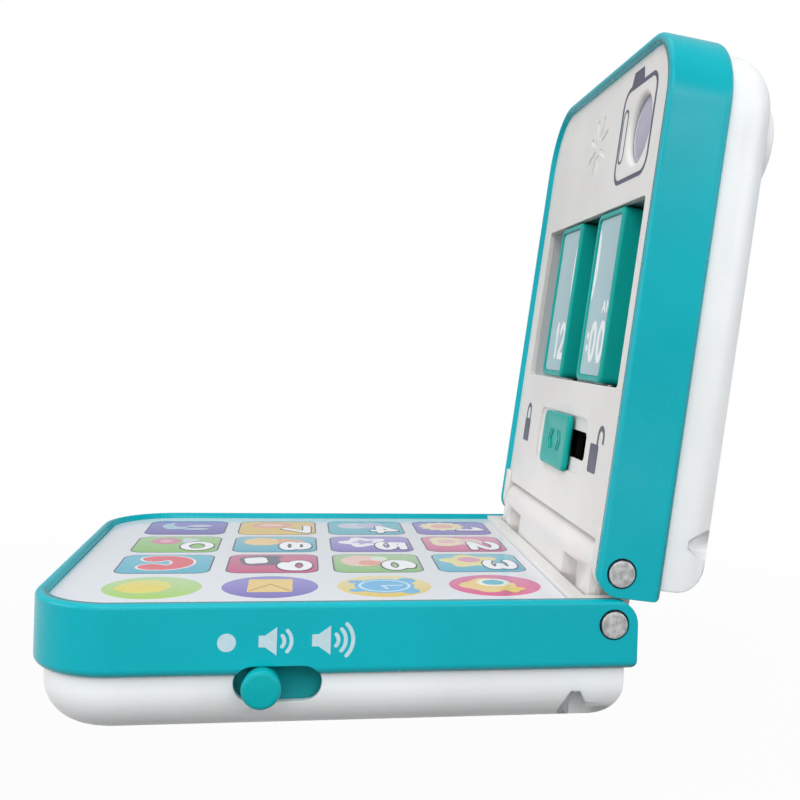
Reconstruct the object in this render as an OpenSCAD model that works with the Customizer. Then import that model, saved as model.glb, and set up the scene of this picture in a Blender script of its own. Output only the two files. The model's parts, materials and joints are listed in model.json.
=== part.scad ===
// Toy laptop computer: two shallow halves, each a coloured rim on a white bowl-shaped shell,
// joined by a double hinge. The base carries a film keypad, batteries and a volume slider.
// The lid carries two flip blocks in a window, a lock slider, a camera and a speaker.
// Millimetres. X runs to the user's right, Y to the hinge, Z up. The origin is the centre of
// the base's flat underside.

/* [Body] */
// Width across the rims
body_w = 136; // [132:1:150]
// Length of each half, from its free end to its hinge end
half_l = 150; // [148:1:166]
// Height of the coloured rim of each half
rim_h = 17.6; // [17:0.2:20]
// Height of the white shell of each half
shell_h = 14.8; // [14.6:0.2:17]
// Plan radius of the corners at the free end
corner_r = 21.5; // [19:0.5:23]
// Wall of the rims
rim_wall = 2.8; // [2.4:0.1:3.2]
// Wall of the shells
shell_wall = 2; // [1.6:0.1:2.2]
// Step from the rim's side in to the shell's side
shell_inset = 2.6; // [2.2:0.1:3]
// Rounding of the shell's outer edge
shell_round = 11; // [9:0.5:12]
// Rounding of the rim's edge beside the shell
rim_low_round = 2.2; // [1.2:0.1:2.4]
// Rounding of the rim's edge round the inner face
rim_top_round = 1.2; // [0.6:0.1:1.8]

/* [Hinge] */
// Distance of each pin from its half's inner face and hinge end
pin_edge = 6.2; // [6:0.1:7]
// Gap between the halves when shut
shut_gap = 0.6; // [0.4:0.1:1.2]
// Radius of the steel pins
pin_r = 3.45; // [2.8:0.05:3.6]
// Running clearance round the pins
pin_play = 0.05; // [0.03:0.01:0.09]
// Radius of the hole in the rim that shows a pin's end
pin_window_r = 3.9; // [3.8:0.1:4.4]
// Length of pin held in the link
pin_grip = 9.6; // [7:0.2:12]
// How far the pins stand out of the rims
pin_proud = 0.6; // [0:0.1:1]
// Width of each hinge ear
ear_w = 4.7; // [4:0.1:6]
// Side gap between an ear and the link
ear_gap = 0.4; // [0.3:0.1:0.6]
// Gap between the link and what it turns against
link_gap = 0.4; // [0.3:0.1:0.5]
// Lean of the link and lid from upright in the stored pose
rest_lean = 7; // [0:1:20]
// Width of the cored pockets in the link
pocket_w = 17.4; // [8:0.2:20]
// Depth of the cored pockets in the link
pocket_d = 4.5; // [2:0.1:5]

/* [Keypad] */
// Key pitch across
key_pitch_x = 29.4; // [26:0.2:30]
// Key pitch along
key_pitch_y = 29.6; // [26:0.2:30]
// Keys per row and per column
key_count = 4; // [3:1:4]
// Offset of the key grid across
key_shift_x = -1.2; // [-2:0.1:2]
// Offset of the key grid along
key_shift_y = -2.6; // [-4:0.1:0]
// Depth of the film below the rim
film_depth = 1.6; // [1.2:0.1:2]
// Thickness of the printed film
film_t = 0.4; // [0.3:0.1:0.6]
// Thickness of the frame plates
plate_t = 2; // [1.8:0.1:2.4]
// Base radius of a rubber dome
dome_r = 5.4; // [4:0.1:5.6]

/* [Volume slider] */
// Place of the slot along the body
slot_y = -14.65; // [-20:0.5:0]
// Height of the slot's centre above the underside
slot_z = 12.6; // [12.2:0.1:13.4]
// Length of the slot
slot_l = 21.3; // [20:0.1:24]
// Height of the slot
slot_h = 9.5; // [8.8:0.1:9.8]
// Travel of the slider from off to loud
volume_travel = 7.5; // [5:0.1:8]
// Radius of the knob's cap
knob_r = 5.1; // [4.8:0.1:5.6]
// Radius of the knob's stem
knob_stem_r = 4.2; // [3.4:0.1:4.2]
// How far the knob stands out of the rim
knob_proud = 5; // [3:0.1:6]

/* [Lid panel] */
// Depth of the panel below the rim
panel_depth = 1.5; // [1.2:0.1:1.8]
// Width of the window
window_w = 111; // [106:1:114]
// Height of the window
window_h = 51.9; // [48:0.1:54]
// Height of the window's lower edge above the lid pin
window_u = 46.3; // [45:0.1:48]
// Width of a block
block_w = 27.2; // [24:0.2:29]
// Depth of a block
block_d = 16; // [13:0.2:16.4]
// Distance of each block's axle from the middle
block_x = 23.3; // [20:0.1:26]
// Gap above and below a block
block_gap = 0.5; // [0.3:0.1:0.8]
// Radius of the block axles
axle_r = 1.5; // [1.2:0.05:1.8]
// Centre of the camera across
camera_x = 39.3; // [38:0.1:41]
// Centre of the camera above the lid pin
camera_u = 119.2; // [118.5:0.1:121]
// Radius of the camera's lenses
camera_r = 10.2; // [8:0.1:10.4]
// Radius of the ring round the rear lens
ring_r = 13.5; // [12.8:0.1:14]
// How far that ring stands out of the shell
ring_proud = 4; // [2:0.1:5]
// Centre of the speaker across
speaker_x = -4; // [-8:0.5:0]
// Centre of the speaker above the lid pin
speaker_u = 121; // [119:0.1:122]
// Radius of the speaker
speaker_r = 14; // [11:0.1:14.4]
// Number of slots in the grille
grille_count = 8; // [6:1:10]

/* [Lock slider] */
// Height of the slider above the lid pin
lock_u = 27.8; // [26:0.1:29]
// Width of the knob
lock_w = 30; // [26:0.2:32]
// Height of the knob
lock_h = 15.2; // [13:0.2:16]
// Place of the knob in the stored pose
lock_rest_x = 1.5; // [0:0.1:3]
// Travel from there to the locked side
lock_left = 14; // [8:0.5:15]
// Travel from there to the unlocked side
lock_right = 16; // [8:0.5:17]
// Depth of the recess round the knob
lock_recess = 0.8; // [0.5:0.1:1]
// Height of the slot under the knob
lock_slot_h = 8.4; // [7:0.1:9]

/* [Battery bay] */
// Centre of the bay across
bay_x = -8; // [-12:0.5:-6]
// Centre of the bay along
bay_y = -3.5; // [-8:0.5:2]
// Radius of a cell
cell_r = 5.25; // [4.8:0.05:5.25]
// Length of a cell
cell_l = 44.5; // [40:0.5:46]

/* [Hidden] */
$fn = 64;

TEAL = "#00A5B0";
DEEP_TEAL = "#16A299";
WHITE = "#EDEEEF";
PANEL_WHITE = "#DAD8D5";
STEEL = "#ADADAD";
BOARD_GREEN = "#2E7D4F";
RUBBER_GREY = "#8E9297";
BLACK = "#222426";
PALE = "#A6C0C6";

fit = 0.3;                 // gap round pieces that drop into each other
half_h = shell_h + rim_h;
side_x = body_w / 2;
free_y = -half_l / 2;
pin_y = half_l / 2 - pin_edge;
pin_z = half_h - pin_edge;

// double hinge
link_r = pin_edge - link_gap;
link_l = 2 * pin_edge + shut_gap;
ear_x1 = side_x - rim_wall - fit;
ear_x0 = ear_x1 - ear_w;
link_x = ear_x0 - ear_gap;
ear_r = pin_edge - fit;
trough_y = pin_y - pin_edge;              // front of the trough that the link turns in
floor_top = pin_z - pin_edge - 2 * fit;   // its floor
ear_foot = floor_top + fit / 2;           // underside of the ears and the cross wall
floor_t = 2;
floor_y = trough_y - 7;
wall_t = 3.8;                             // the cross wall in front of the trough

// screws that hold each half together
well_r = 3.9;
well_wall = 1.5;
screw_seat = shell_h - 4.2;               // where the screw heads seat
boss_split = screw_seat + 2;              // where shell bosses meet the bosses above them
boss_r = 2.6;
head_r = 3.2;
head_t = 2.2;
shank_r = 1.45;
screw_l = floor_top - floor_t - 0.2 - screw_seat;       // ends under the trough's floor
thread_play = 0.03;
thread_l = screw_seat + screw_l + 0.4 - boss_split + 1;
hinge_screw = [side_x - shell_inset - well_r - 0.2, trough_y - 2.7];
base_free_screw = [side_x - 20, free_y + 19];
lid_free_screw = [side_x - 46, free_y + 12.8];

// keypad stack
film_z = half_h - film_depth - film_t;
plate_z = film_z - plate_t;
board_t = 1.6;
sheet_t = 1.2;
sheet_z = plate_z - 2.8;
key_board_z = sheet_z - board_t;
key_mid = (key_count - 1) / 2;
keys = [for (i = [0 : key_count - 1], j = [0 : key_count - 1])
    [key_shift_x + (i - key_mid) * key_pitch_x, key_shift_y + (j - key_mid) * key_pitch_y]];
posts = [for (i = [1 : key_count - 1], j = [1 : key_count - 1]) if (i != key_count / 2)
    [key_shift_x + (i - key_count / 2) * key_pitch_x, key_shift_y + (j - key_count / 2) * key_pitch_y]];
key_board_edge = 12;       // board beyond the outer keys' centres
key_board_w = min((key_count - 1) * key_pitch_x + 2 * key_board_edge, 2 * (side_x - rim_wall - 6));
key_board_l = (key_count - 1) * key_pitch_y + 2 * key_board_edge + 2;
post_r = 3;
small_head_r = 2.4;
small_head_t = 1.6;
small_shank_r = 1.2;
ledge_w = 3;
ledge_t = 1.8;

// volume slider
slot_r = slot_h / 2;
slide_t = 1.7;
slide_x = side_x - shell_inset - shell_wall - 1;      // outer face of the slide plate
slide_h = slot_h + 1.6;
slide_z = slot_z + 0.5;
slide_l = slot_l + volume_travel + 2;
knob_y = slot_y - volume_travel / 2;
main_z = 8;
main_x = side_x - 22;
main_y = slot_y + 4;
main_w = 22;
main_l = 54;
lever_w = 3;
lever_h = 2.8;
switch_w = 6.5;
switch_l = lever_w + volume_travel + 12;
switch_x = slide_x - slide_t - 2.2;                   // outer face of the switch
lever_in = 1.6;
switch_h = 5.8;
chip_w = 10;
chip_t = 1.6;
can_r = 3.2;
can_h = 5.5;
small_part = [4, 1.6, 1];

// battery bay
bay_l = cell_l + 6.5;
cell_pitch = 2 * cell_r + 0.5;
bay_w = 3 * cell_pitch;
bay_wall = 1.6;
bay_top = shell_wall + fit + 2 * cell_r + 0.2;
door_t = shell_wall - 0.1;
door_lip = 2;
door_x0 = bay_x - bay_l / 2 - door_lip;
tab_l = 2.4;
door_screw_x = bay_x + bay_l / 2 + 6.2;
pad_r = 4.6;
pad_h = 3.6;
tab_w = 8;
contact_t = 0.5;
contact_w = 9;
spring_r = 2.6;
spring_turns = 3;
nub_l = 1;

// lid
lid_plate_z = half_h - panel_depth - plate_t;         // back of the panel, from the lid's back
front_y = panel_depth - pin_edge;                     // panel's front, behind the lid pin
back_y = front_y + plate_t;                           // panel's back
shell_in_y = pin_z - shell_wall;                      // inside of the lid's back
block_h = window_h - 2 * block_gap;
block_front = front_y + 0.1;
axle_y = block_front + block_d / 2;
block_sweep = norm([block_w, block_d]) / 2;
tray_wall = 1.5;
tray_floor = axle_y + block_sweep + 0.6;
axle_play = 0.06;
card_t = 0.5;
card_sink = 0.1;
card_side = 2;                                        // edge left beside and past a card
card_end = 1.5;
window_mid = window_u + window_h / 2;
lug_r = 3.4;
tube_wall = 1.4;
lens_t = 1.2;
lens_lip = 0.5;
flare_r = 1.6;                                        // rounding round the camera opening
lock_floor = front_y + lock_recess;
lock_lift = 0.3;
stem_w = lock_w - 5.2;
stem_play = 0.4;
carrier_w = lock_w - 1;
carrier_h = lock_slot_h + 5.6;
carrier_t = 1.8;
carrier_y = back_y + lock_lift;
lid_board_y = carrier_y + carrier_t + 1.2;
lid_board_w = lock_left + lock_right + carrier_w + 18;
lid_board_x = lock_rest_x + (lock_right - lock_left) / 2;
lid_board_h = 26;
lid_board_u = lock_u + 2;
cone_d = 4;

base_pin = [0, pin_y, pin_z];
lid_pin = base_pin + link_l * [0, sin(rest_lean), cos(rest_lean)];

// ---------------------------------------------------------------- shared shapes

// Outline of a half in plan: round corners at the free end, square ones at the hinge.
module half_plan(inset = 0) {
    r = corner_r - inset;
    x = side_x - inset;
    y0 = free_y + inset;
    for (s = [-1, 1]) translate([s * (x - r), y0 + r]) circle(r);
    translate([r - x, y0]) square([2 * (x - r), r]);
    translate([-x, y0 + r]) square([2 * x, half_l - 2 * inset - r]);
}

module half_prism(inset, z0, z1) {
    translate([0, 0, z0]) linear_extrude(z1 - z0) half_plan(inset);
}

// Section of a wall from its flat side at 0 out to x, with its outer edges rounded.
module edge_section(x, z0, z1, low_r, high_r) {
    intersection() {
        union() {
            translate([0, z0 + low_r]) square([x, z1 - z0 - low_r - high_r]);
            translate([0, z0]) square([x - low_r, low_r + 1]);
            translate([0, z1 - high_r - 1]) square([x - high_r, high_r + 1]);
            translate([x - low_r, z0 + low_r]) circle(low_r);
            if (high_r > 0) translate([x - high_r, z1 - high_r]) circle(high_r);
        }
        translate([0, z0]) square([x, z1 - z0]);
    }
}

module full_section(x, z0, z1, low_r, high_r) {
    edge_section(x, z0, z1, low_r, high_r);
    mirror([1, 0]) edge_section(x, z0, z1, low_r, high_r);
}

// Solid half with its lower and upper edges rounded.
module rounded_half(inset, z0, z1, low_r, high_r) {
    r = corner_r - inset;
    x = side_x - inset;
    y = half_l / 2 - inset;
    intersection() {
        across(-x, x) full_section(y, z0, z1, low_r, high_r);
        translate([0, y, 0]) rotate([90, 0, 0]) linear_extrude(2 * y - r)
            full_section(x, z0, z1, low_r, high_r);
    }
    intersection() {
        across(r - x, x - r) full_section(y, z0, z1, low_r, high_r);
        translate([-x, -y - 1, z0 - 1]) cube([2 * x, r + 1, z1 - z0 + 2]);
    }
    translate([r - x, r - y, 0]) rotate(180)
        rotate_extrude(angle = 90) edge_section(r, z0, z1, low_r, high_r);
    translate([x - r, r - y, 0]) rotate(270)
        rotate_extrude(angle = 90) edge_section(r, z0, z1, low_r, high_r);
}

// Extrudes a side view, drawn as (Y, Z), across X.
module across(x0, x1) {
    translate([x0, 0, 0]) rotate([90, 0, 90]) linear_extrude(x1 - x0) children();
}

module both_sides() {
    children();
    mirror([1, 0, 0]) children();
}

module screw(r, t, sr, l) {
    cylinder(r = r, h = t);
    translate([0, 0, t]) cylinder(r = sr, h = l);
}

module rounded_rect(w, h, r) {
    for (x = [-1, 1], y = [-1, 1]) translate([x * (w / 2 - r), y * (h / 2 - r)]) circle(r);
    square([w - 2 * r, h], center = true);
    square([w, h - 2 * r], center = true);
}

// ---------------------------------------------------------------- frames of the moving parts

module in_link() translate(base_pin) rotate([-rest_lean, 0, 0]) children();
module in_lid() translate(lid_pin) rotate([-rest_lean, 0, 0]) children();

// A half drawn like the base, stood up as the lid.
module half_as_lid() in_lid() translate([0, pin_z, pin_y]) rotate([-90, 0, 180]) children();

// Extrudes a front view of the lid, drawn as (X, height above the lid pin), from y0 back to y1.
module lid_slab(y0, y1) translate([0, y1, 0]) rotate([90, 0, 0]) linear_extrude(y1 - y0) children();

// Turns +Z of its children to the lid's depth, starting at a point of the front view.
module lid_bore(x, u, y) translate([x, y, u]) rotate([-90, 0, 0]) children();

// ---------------------------------------------------------------- halves

module rim_side_view() {
    translate([free_y - 1, shell_h - 1]) square([pin_y - free_y + 1, rim_h + 2]);
    translate([pin_y - 1, shell_h - 1]) square([pin_edge + 3, pin_z - shell_h + 1]);
    translate([pin_y, pin_z]) circle(pin_edge);
}

// The rim, with a ledge below an inner plate at the height of seat.
module rim(seat) {
    difference() {
        intersection() {
            rounded_half(0, shell_h, half_h, rim_low_round, rim_top_round);
            across(-side_x - 1, side_x + 1) rim_side_view();
        }
        half_prism(rim_wall, shell_h - 1, half_h + 1);
        translate([rim_wall - side_x, trough_y, floor_top])
            cube([body_w - 2 * rim_wall, pin_edge * 3, half_h]);
        both_sides() translate([side_x - rim_wall - 1, pin_y, pin_z])
            rotate([0, 90, 0]) cylinder(r = pin_window_r, h = rim_wall + 2);
    }
    // floor of the link's trough
    translate([rim_wall / 2 - side_x, floor_y, floor_top - floor_t])
        cube([body_w - rim_wall, half_l / 2 - rim_wall / 2 - floor_y, floor_t]);
    // ledge under the frame
    difference() {
        half_prism(rim_wall / 2, seat - ledge_t, seat);
        half_prism(rim_wall + ledge_w, seat - ledge_t - 1, seat + 1);
        translate([-side_x, floor_y, seat - ledge_t - 1]) cube([body_w, half_l, ledge_t + 2]);
    }
    // flange that seats on the shell
    difference() {
        half_prism(rim_wall - 0.1, shell_h, shell_h + ledge_t);
        half_prism(shell_inset + shell_wall + 0.4, shell_h - 1, shell_h + ledge_t + 1);
    }
    // screw bosses at the hinge end
    both_sides() translate([hinge_screw.x, hinge_screw.y, boss_split]) difference() {
        cylinder(r = boss_r, h = floor_top - boss_split);
        translate([0, 0, -1]) cylinder(r = shank_r + thread_play, h = thread_l);
    }
}

module shell(free_screw) {
    spots = [for (s = [-1, 1], p = [free_screw, hinge_screw]) [s * p.x, p.y]];
    difference() {
        rounded_half(shell_inset, 0, shell_h, shell_round, 0);
        difference() {
            rounded_half(shell_inset + shell_wall, shell_wall, shell_h + 1, shell_round - shell_wall, 0);
            for (p = spots) translate([p.x, p.y, 0]) cylinder(r = well_r + well_wall, h = boss_split);
        }
        for (p = spots) translate([p.x, p.y, 0]) {
            translate([0, 0, -1]) cylinder(r = well_r, h = screw_seat - head_t + 1.4);
            cylinder(r = head_r + fit, h = screw_seat);
            cylinder(r = shank_r + fit, h = shell_h);
            translate([0, 0, boss_split]) cylinder(r = boss_r + fit, h = shell_h);
        }
    }
}

// Ears and bosses that a half's inner plate carries.
module ear_view() {
    translate([pin_y, pin_z]) circle(ear_r);
    translate([trough_y - wall_t, ear_foot]) square([pin_y - trough_y + wall_t, pin_z + ear_r - ear_foot]);
    translate([pin_y - 1, ear_foot]) square([ear_r * 0.6, ear_r]);
}

module ears() {
    both_sides() difference() {
        across(ear_x0, ear_x1) ear_view();
        across(ear_x0 - 1, ear_x1 + 1) translate([pin_y, pin_z]) circle(pin_r + pin_play);
    }
}

module cross_wall(z1) {
    translate([-ear_x1, trough_y - wall_t, ear_foot]) cube([2 * ear_x1, wall_t, z1 - ear_foot]);
}

module frame_boss(p, z1) {
    translate([p.x, p.y, boss_split]) difference() {
        cylinder(r = boss_r, h = z1 - boss_split);
        translate([0, 0, -1]) cylinder(r = shank_r + thread_play, h = thread_l);
    }
}

module half_screws(free_screw) {
    for (s = [-1, 1], p = [free_screw, hinge_screw])
        translate([s * p.x, p.y, screw_seat - head_t]) screw(head_r, head_t, shank_r, screw_l);
}

// ---------------------------------------------------------------- base

module volume_slot() {
    across(slide_x - 1, side_x + 1) {
        for (s = [-1, 1]) translate([slot_y + s * (slot_l / 2 - slot_r), slot_z]) circle(slot_r);
        translate([slot_y - slot_l / 2 + slot_r, slot_z - slot_r]) square([slot_l - slot_h, slot_h]);
    }
}

module base_rim() color(TEAL) {
    difference() {
        union() {
            rim(plate_z);
            // rib that the volume plate slides against
            translate([slide_x + fit, slot_y - slide_l / 2, slot_z + slot_r + 0.4])
                cube([side_x - rim_wall + 0.5 - slide_x - fit, slide_l, 1.6]);
        }
        volume_slot();
    }
}

module bay_block(grow, z0, z1) {
    translate([bay_x - bay_l / 2 - grow, bay_y - bay_w / 2 - grow, z0])
        cube([bay_l + 2 * grow, bay_w + 2 * grow, z1 - z0]);
}

module door_plan(gap) {
    translate([door_x0 - gap, bay_y - bay_w / 2 - door_lip - gap])
        square([bay_l + 2 * door_lip + 2 * gap, bay_w + 2 * door_lip + 2 * gap]);
    translate([door_screw_x, bay_y]) circle(pad_r + gap);
    translate([bay_x, bay_y - pad_r - gap]) square([door_screw_x - bay_x, 2 * pad_r + 2 * gap]);
}

module door_tabs(grow) {
    for (s = [-1, 1])
        translate([door_x0 - tab_l, bay_y + s * bay_w / 4 - tab_w / 2, shell_wall + 0.1])
            translate([-grow, -grow, -grow]) cube([tab_l + 1 + 2 * grow, tab_w + 2 * grow, 1.2 + 2 * grow]);
}

module main_posts() {
    for (x = [-1, 1], y = [-1, 1])
        translate([main_x + x * (main_w / 2 - 3), main_y + y * (main_l / 2 - 3), 0]) children();
}

module base_shell() color(WHITE) {
    difference() {
        union() {
            shell(base_free_screw);
            intersection() {
                rounded_half(shell_inset, 0, shell_h, shell_round, 0);
                union() {
                    bay_block(bay_wall, shell_wall / 2, bay_top + 1.2);
                    translate([door_screw_x, bay_y, 1]) cylinder(r = pad_r + 1.6, h = 9.4);
                    main_posts() translate([0, 0, 1]) cylinder(r = 2.6, h = main_z - 1);
                    translate([slide_x - slide_t - 1.9, slot_y - slide_l / 2 - 2, 1])
                        cube([1.6, slide_l + 4, 8]);
                    translate([slide_x - slide_t - 1, slot_y - slide_l / 2 - 2, 1])
                        cube([6, slide_l + 4, slide_z - slide_h / 2 - fit - 1]);
                }
            }
        }
        bay_block(0, -1, bay_top);
        translate([0, 0, -1]) linear_extrude(1 + shell_wall) door_plan(fit);
        translate([door_screw_x, bay_y, -1]) cylinder(r = pad_r + fit, h = pad_h + 1.3);
        translate([door_screw_x, bay_y, 0]) cylinder(r = shank_r + thread_play, h = 9.6);
        door_tabs(fit);
        main_posts() translate([0, 0, 3]) cylinder(r = small_shank_r + thread_play, h = main_z);
        volume_slot();
    }
}

module base_frame() color(WHITE) {
    difference() {
        union() {
            intersection() {
                half_prism(rim_wall + fit, plate_z, film_z);
                translate([-side_x, free_y, 0]) cube([body_w, trough_y - free_y, half_h]);
            }
            cross_wall(half_h - fit);
            both_sides() frame_boss(base_free_screw, plate_z + 1);
            for (p = posts) translate([p.x, p.y, sheet_z]) cylinder(r = post_r, h = plate_z - sheet_z + 1);
        }
        for (k = keys) translate([k.x, k.y, plate_z - 1]) cylinder(r = dome_r + 0.6, h = plate_t + 2);
        for (p = posts) translate([p.x, p.y, sheet_z - 1])
            cylinder(r = small_shank_r + thread_play, h = 4.2);
    }
    ears();
}

module keypad_film() color("#DCDFE4") {
    intersection() {
        half_prism(rim_wall + fit, film_z, film_z + film_t);
        translate([-side_x, free_y, 0]) cube([body_w, trough_y - wall_t - fit - free_y, half_h]);
    }
}

module key_sheet_plan() {
    difference() {
        translate([key_shift_x, key_shift_y]) rounded_rect(key_board_w, key_board_l, 9);
        for (s = [-1, 1]) translate([s * base_free_screw.x, base_free_screw.y]) circle(boss_r + 0.4);
    }
}

module key_membrane() color(RUBBER_GREY) {
    translate([0, 0, sheet_z]) linear_extrude(sheet_t) difference() {
        key_sheet_plan();
        for (p = posts) translate(p) circle(post_r + fit);
    }
    for (k = keys) translate([k.x, k.y, sheet_z + sheet_t])
        cylinder(r1 = dome_r, r2 = dome_r - 1.2, h = film_z - 0.2 - sheet_z - sheet_t);
}

module key_board() color(BOARD_GREEN) {
    translate([0, 0, key_board_z]) linear_extrude(board_t) difference() {
        key_sheet_plan();
        for (p = posts) translate(p) circle(small_shank_r + 0.2);
    }
}

module key_board_screws() color(STEEL) {
    for (p = posts) translate([p.x, p.y, key_board_z - small_head_t])
        screw(small_head_r, small_head_t, small_shank_r, board_t + 2.6);
}

module main_board() color(BOARD_GREEN) {
    difference() {
        translate([main_x - main_w / 2, main_y - main_l / 2, main_z]) cube([main_w, main_l, board_t]);
        main_posts() cylinder(r = small_shank_r + 0.2, h = half_h);
    }
}

module board_parts() color(BLACK) {
    top = main_z + board_t;
    translate([main_x - 1 - chip_w / 2, main_y + 4, top]) cube([chip_w, chip_w, chip_t]);
    translate([main_x - 5, main_y - 12, top]) cylinder(r = can_r, h = can_h);
    for (x = [-7, -1]) translate([main_x + x, main_y - 3, top]) cube(small_part);
}

module main_board_screws() color(STEEL) {
    main_posts() translate([0, 0, main_z + board_t]) rotate([180, 0, 0])
        translate([0, 0, -small_head_t]) screw(small_head_r, small_head_t, small_shank_r, board_t + 3);
}

module volume_switch() color(BLACK) {
    difference() {
        translate([switch_x - switch_w, slot_y - switch_l / 2, main_z + board_t])
            cube([switch_w, switch_l, switch_h]);
        translate([switch_x - lever_in - fit, knob_y - lever_w / 2 - fit, slot_z - lever_h / 2 - fit])
            cube([lever_in + 1, lever_w + volume_travel + 2 * fit, lever_h + 2 * fit]);
    }
}

module battery_door() color(WHITE) {
    difference() {
        union() {
            linear_extrude(door_t) door_plan(0);
            translate([door_screw_x, bay_y, 0]) cylinder(r = pad_r, h = pad_h);
            door_tabs(0);
            for (s = [-1, 1])
                translate([door_x0, bay_y + s * bay_w / 4 - tab_w / 2, door_t - 0.5])
                    cube([1, tab_w, shell_wall + 1.3 - door_t + 0.5]);
        }
        translate([door_screw_x, bay_y, -1]) cylinder(r = head_r + 0.2, h = head_t + 1);
        translate([door_screw_x, bay_y, 0]) cylinder(r = shank_r + 0.25, h = pad_h + 1);
        // grip grooves for opening
        for (i = [-2 : 2]) translate([bay_x - bay_l / 4 + 3 * i, bay_y - 8, -1]) cube([1.2, 16, 1.5]);
    }
}

module battery_door_screw() color(STEEL) {
    translate([door_screw_x, bay_y, 0.2]) screw(head_r - 0.2, head_t - 0.2, shank_r, 6.4);
}

// Stands at each cell's place, with +X towards its flat end.
module at_cells() {
    for (i = [-1 : 1]) translate([bay_x, bay_y + i * cell_pitch, shell_wall + fit + cell_r])
        mirror([i == 0 ? 1 : 0, 0, 0]) children();
}

module batteries() color("#3F8E5A") {
    nub_end = contact_t + 0.3 - bay_l / 2;
    at_cells() translate([nub_end, 0, 0]) rotate([0, 90, 0]) {
        cylinder(r = 1.9, h = nub_l + 0.5);
        translate([0, 0, nub_l]) cylinder(r = cell_r - 0.1, h = cell_l - nub_l);
    }
}

module battery_springs() color(STEEL) {
    reach = bay_l - 2 * contact_t - fit - cell_l;
    at_cells() translate([bay_l / 2 - contact_t - reach + fit, 0, 0]) rotate([0, 90, 0])
        linear_extrude(reach - fit, twist = 360 * spring_turns, slices = 14 * spring_turns, $fn = 6)
            translate([spring_r, 0]) circle(0.5);
}

module battery_contacts() color(STEEL) {
    at_cells() for (s = [-1, 1])
        translate([s * (bay_l / 2 - contact_t / 2), 0, 0])
            cube([contact_t, contact_w, contact_w], center = true);
}

module base_screws() color(STEEL) half_screws(base_free_screw);

module volume_slider() color(DEEP_TEAL) {
    translate([slide_x - slide_t, knob_y - slide_l / 2, slide_z - slide_h / 2])
        cube([slide_t, slide_l, slide_h]);
    translate([slide_x - 0.5, knob_y, slot_z]) rotate([0, 90, 0]) {
        cylinder(r = knob_stem_r, h = side_x - slide_x + 1.4);
        translate([0, 0, side_x - slide_x + 0.9]) rotate_extrude() {
            square([knob_r - 1.2, knob_proud - 0.4]);
            square([knob_r, knob_proud - 1.6]);
            translate([knob_r - 1.2, knob_proud - 1.6]) intersection() {
                circle(1.2);
                square(2);
            }
        }
    }
}

module volume_lever() color(BLACK) {
    translate([switch_x - lever_in, knob_y - lever_w / 2, slot_z - lever_h / 2])
        cube([slide_x - slide_t - switch_x + lever_in, lever_w, lever_h]);
}

// ---------------------------------------------------------------- double hinge

module link_view() {
    circle(link_r);
    translate([0, link_l]) circle(link_r);
    translate([-link_r, 0]) square([2 * link_r, link_l]);
}

module hinge_link() color(WHITE) {
    in_link() difference() {
        across(-link_x, link_x) link_view();
        both_sides() across(link_x - pin_grip, link_x + 1) for (z = [0, link_l])
            translate([0, z]) circle(pin_r + 0.01);
        both_sides() translate([link_x - pin_grip - 2 - pocket_w, -link_r - 1, 2])
            cube([pocket_w, pocket_d + 1, link_l - 4]);
    }
}

module pin_pair() {
    x0 = link_x - pin_grip + fit;
    x1 = side_x + pin_proud;
    both_sides() rotate([0, 90, 0]) rotate_extrude() {
        translate([0, x0]) square([pin_r, x1 - 0.4 - x0]);
        translate([0, x1 - 0.5]) square([pin_r - 0.4, 0.5]);
        translate([pin_r - 0.4, x1 - 0.4]) intersection() {
            circle(0.4);
            square(1);
        }
    }
}

module base_pins() color(STEEL) in_link() pin_pair();
module lid_pins() color(STEEL) in_link() translate([0, 0, link_l]) pin_pair();

// ---------------------------------------------------------------- lid

module lid_rim() color(TEAL) half_as_lid() rim(lid_plate_z);

module lid_shell() color(WHITE) {
    difference() {
        half_as_lid() shell(lid_free_screw);
        in_lid() lid_bore(camera_x, camera_u, shell_in_y - 1)
            cylinder(r = camera_r + 0.1, h = shell_wall + 2);
    }
}

module grille_view() {
    for (i = [0 : grille_count - 1])
        translate([speaker_x, speaker_u]) rotate(360 * (i + 0.5) / grille_count) translate([3.6, -0.8]) {
            square([speaker_r - 8, 1.6]);
            translate([0, 0.8]) circle(0.8);
            translate([speaker_r - 8, 0.8]) circle(0.8);
        }
}

module lock_slot_view() {
    x0 = lock_rest_x - lock_left - stem_w / 2 - stem_play;
    x1 = lock_rest_x + lock_right + stem_w / 2 + stem_play;
    translate([(x0 + x1) / 2, lock_u]) rounded_rect(x1 - x0, lock_slot_h, 2);
}

module lock_recess_view() {
    x0 = lock_rest_x - lock_left - lock_w / 2 - 0.6;
    x1 = lock_rest_x + lock_right + lock_w / 2 + 0.6;
    translate([(x0 + x1) / 2, lock_u]) rounded_rect(x1 - x0, lock_h + 1.4, 3.4);
}

module lid_board_posts() {
    dx = lid_board_w / 2 - 3;
    du = lid_board_h / 2 - 3;
    for (x = [-dx, dx], u = [-du, du]) lid_bore(lid_board_x + x, lid_board_u + u, 0) children();
}

module tray_lugs() {
    dx = window_w / 2 - 8;
    du = window_h / 2 + tray_wall + lug_r - 0.8;
    for (x = [-dx, dx], u = [-du, du]) lid_bore(x, window_mid + u, back_y) children();
}

// Opening round the camera's lens, flared at the front.
module camera_opening() {
    rotate_extrude() difference() {
        translate([0, -1]) square([camera_r - lens_lip + flare_r, plate_t + 2]);
        translate([camera_r - lens_lip + flare_r, flare_r]) circle(flare_r);
        translate([camera_r - lens_lip, flare_r]) square([flare_r + 1, plate_t]);
    }
}

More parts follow.
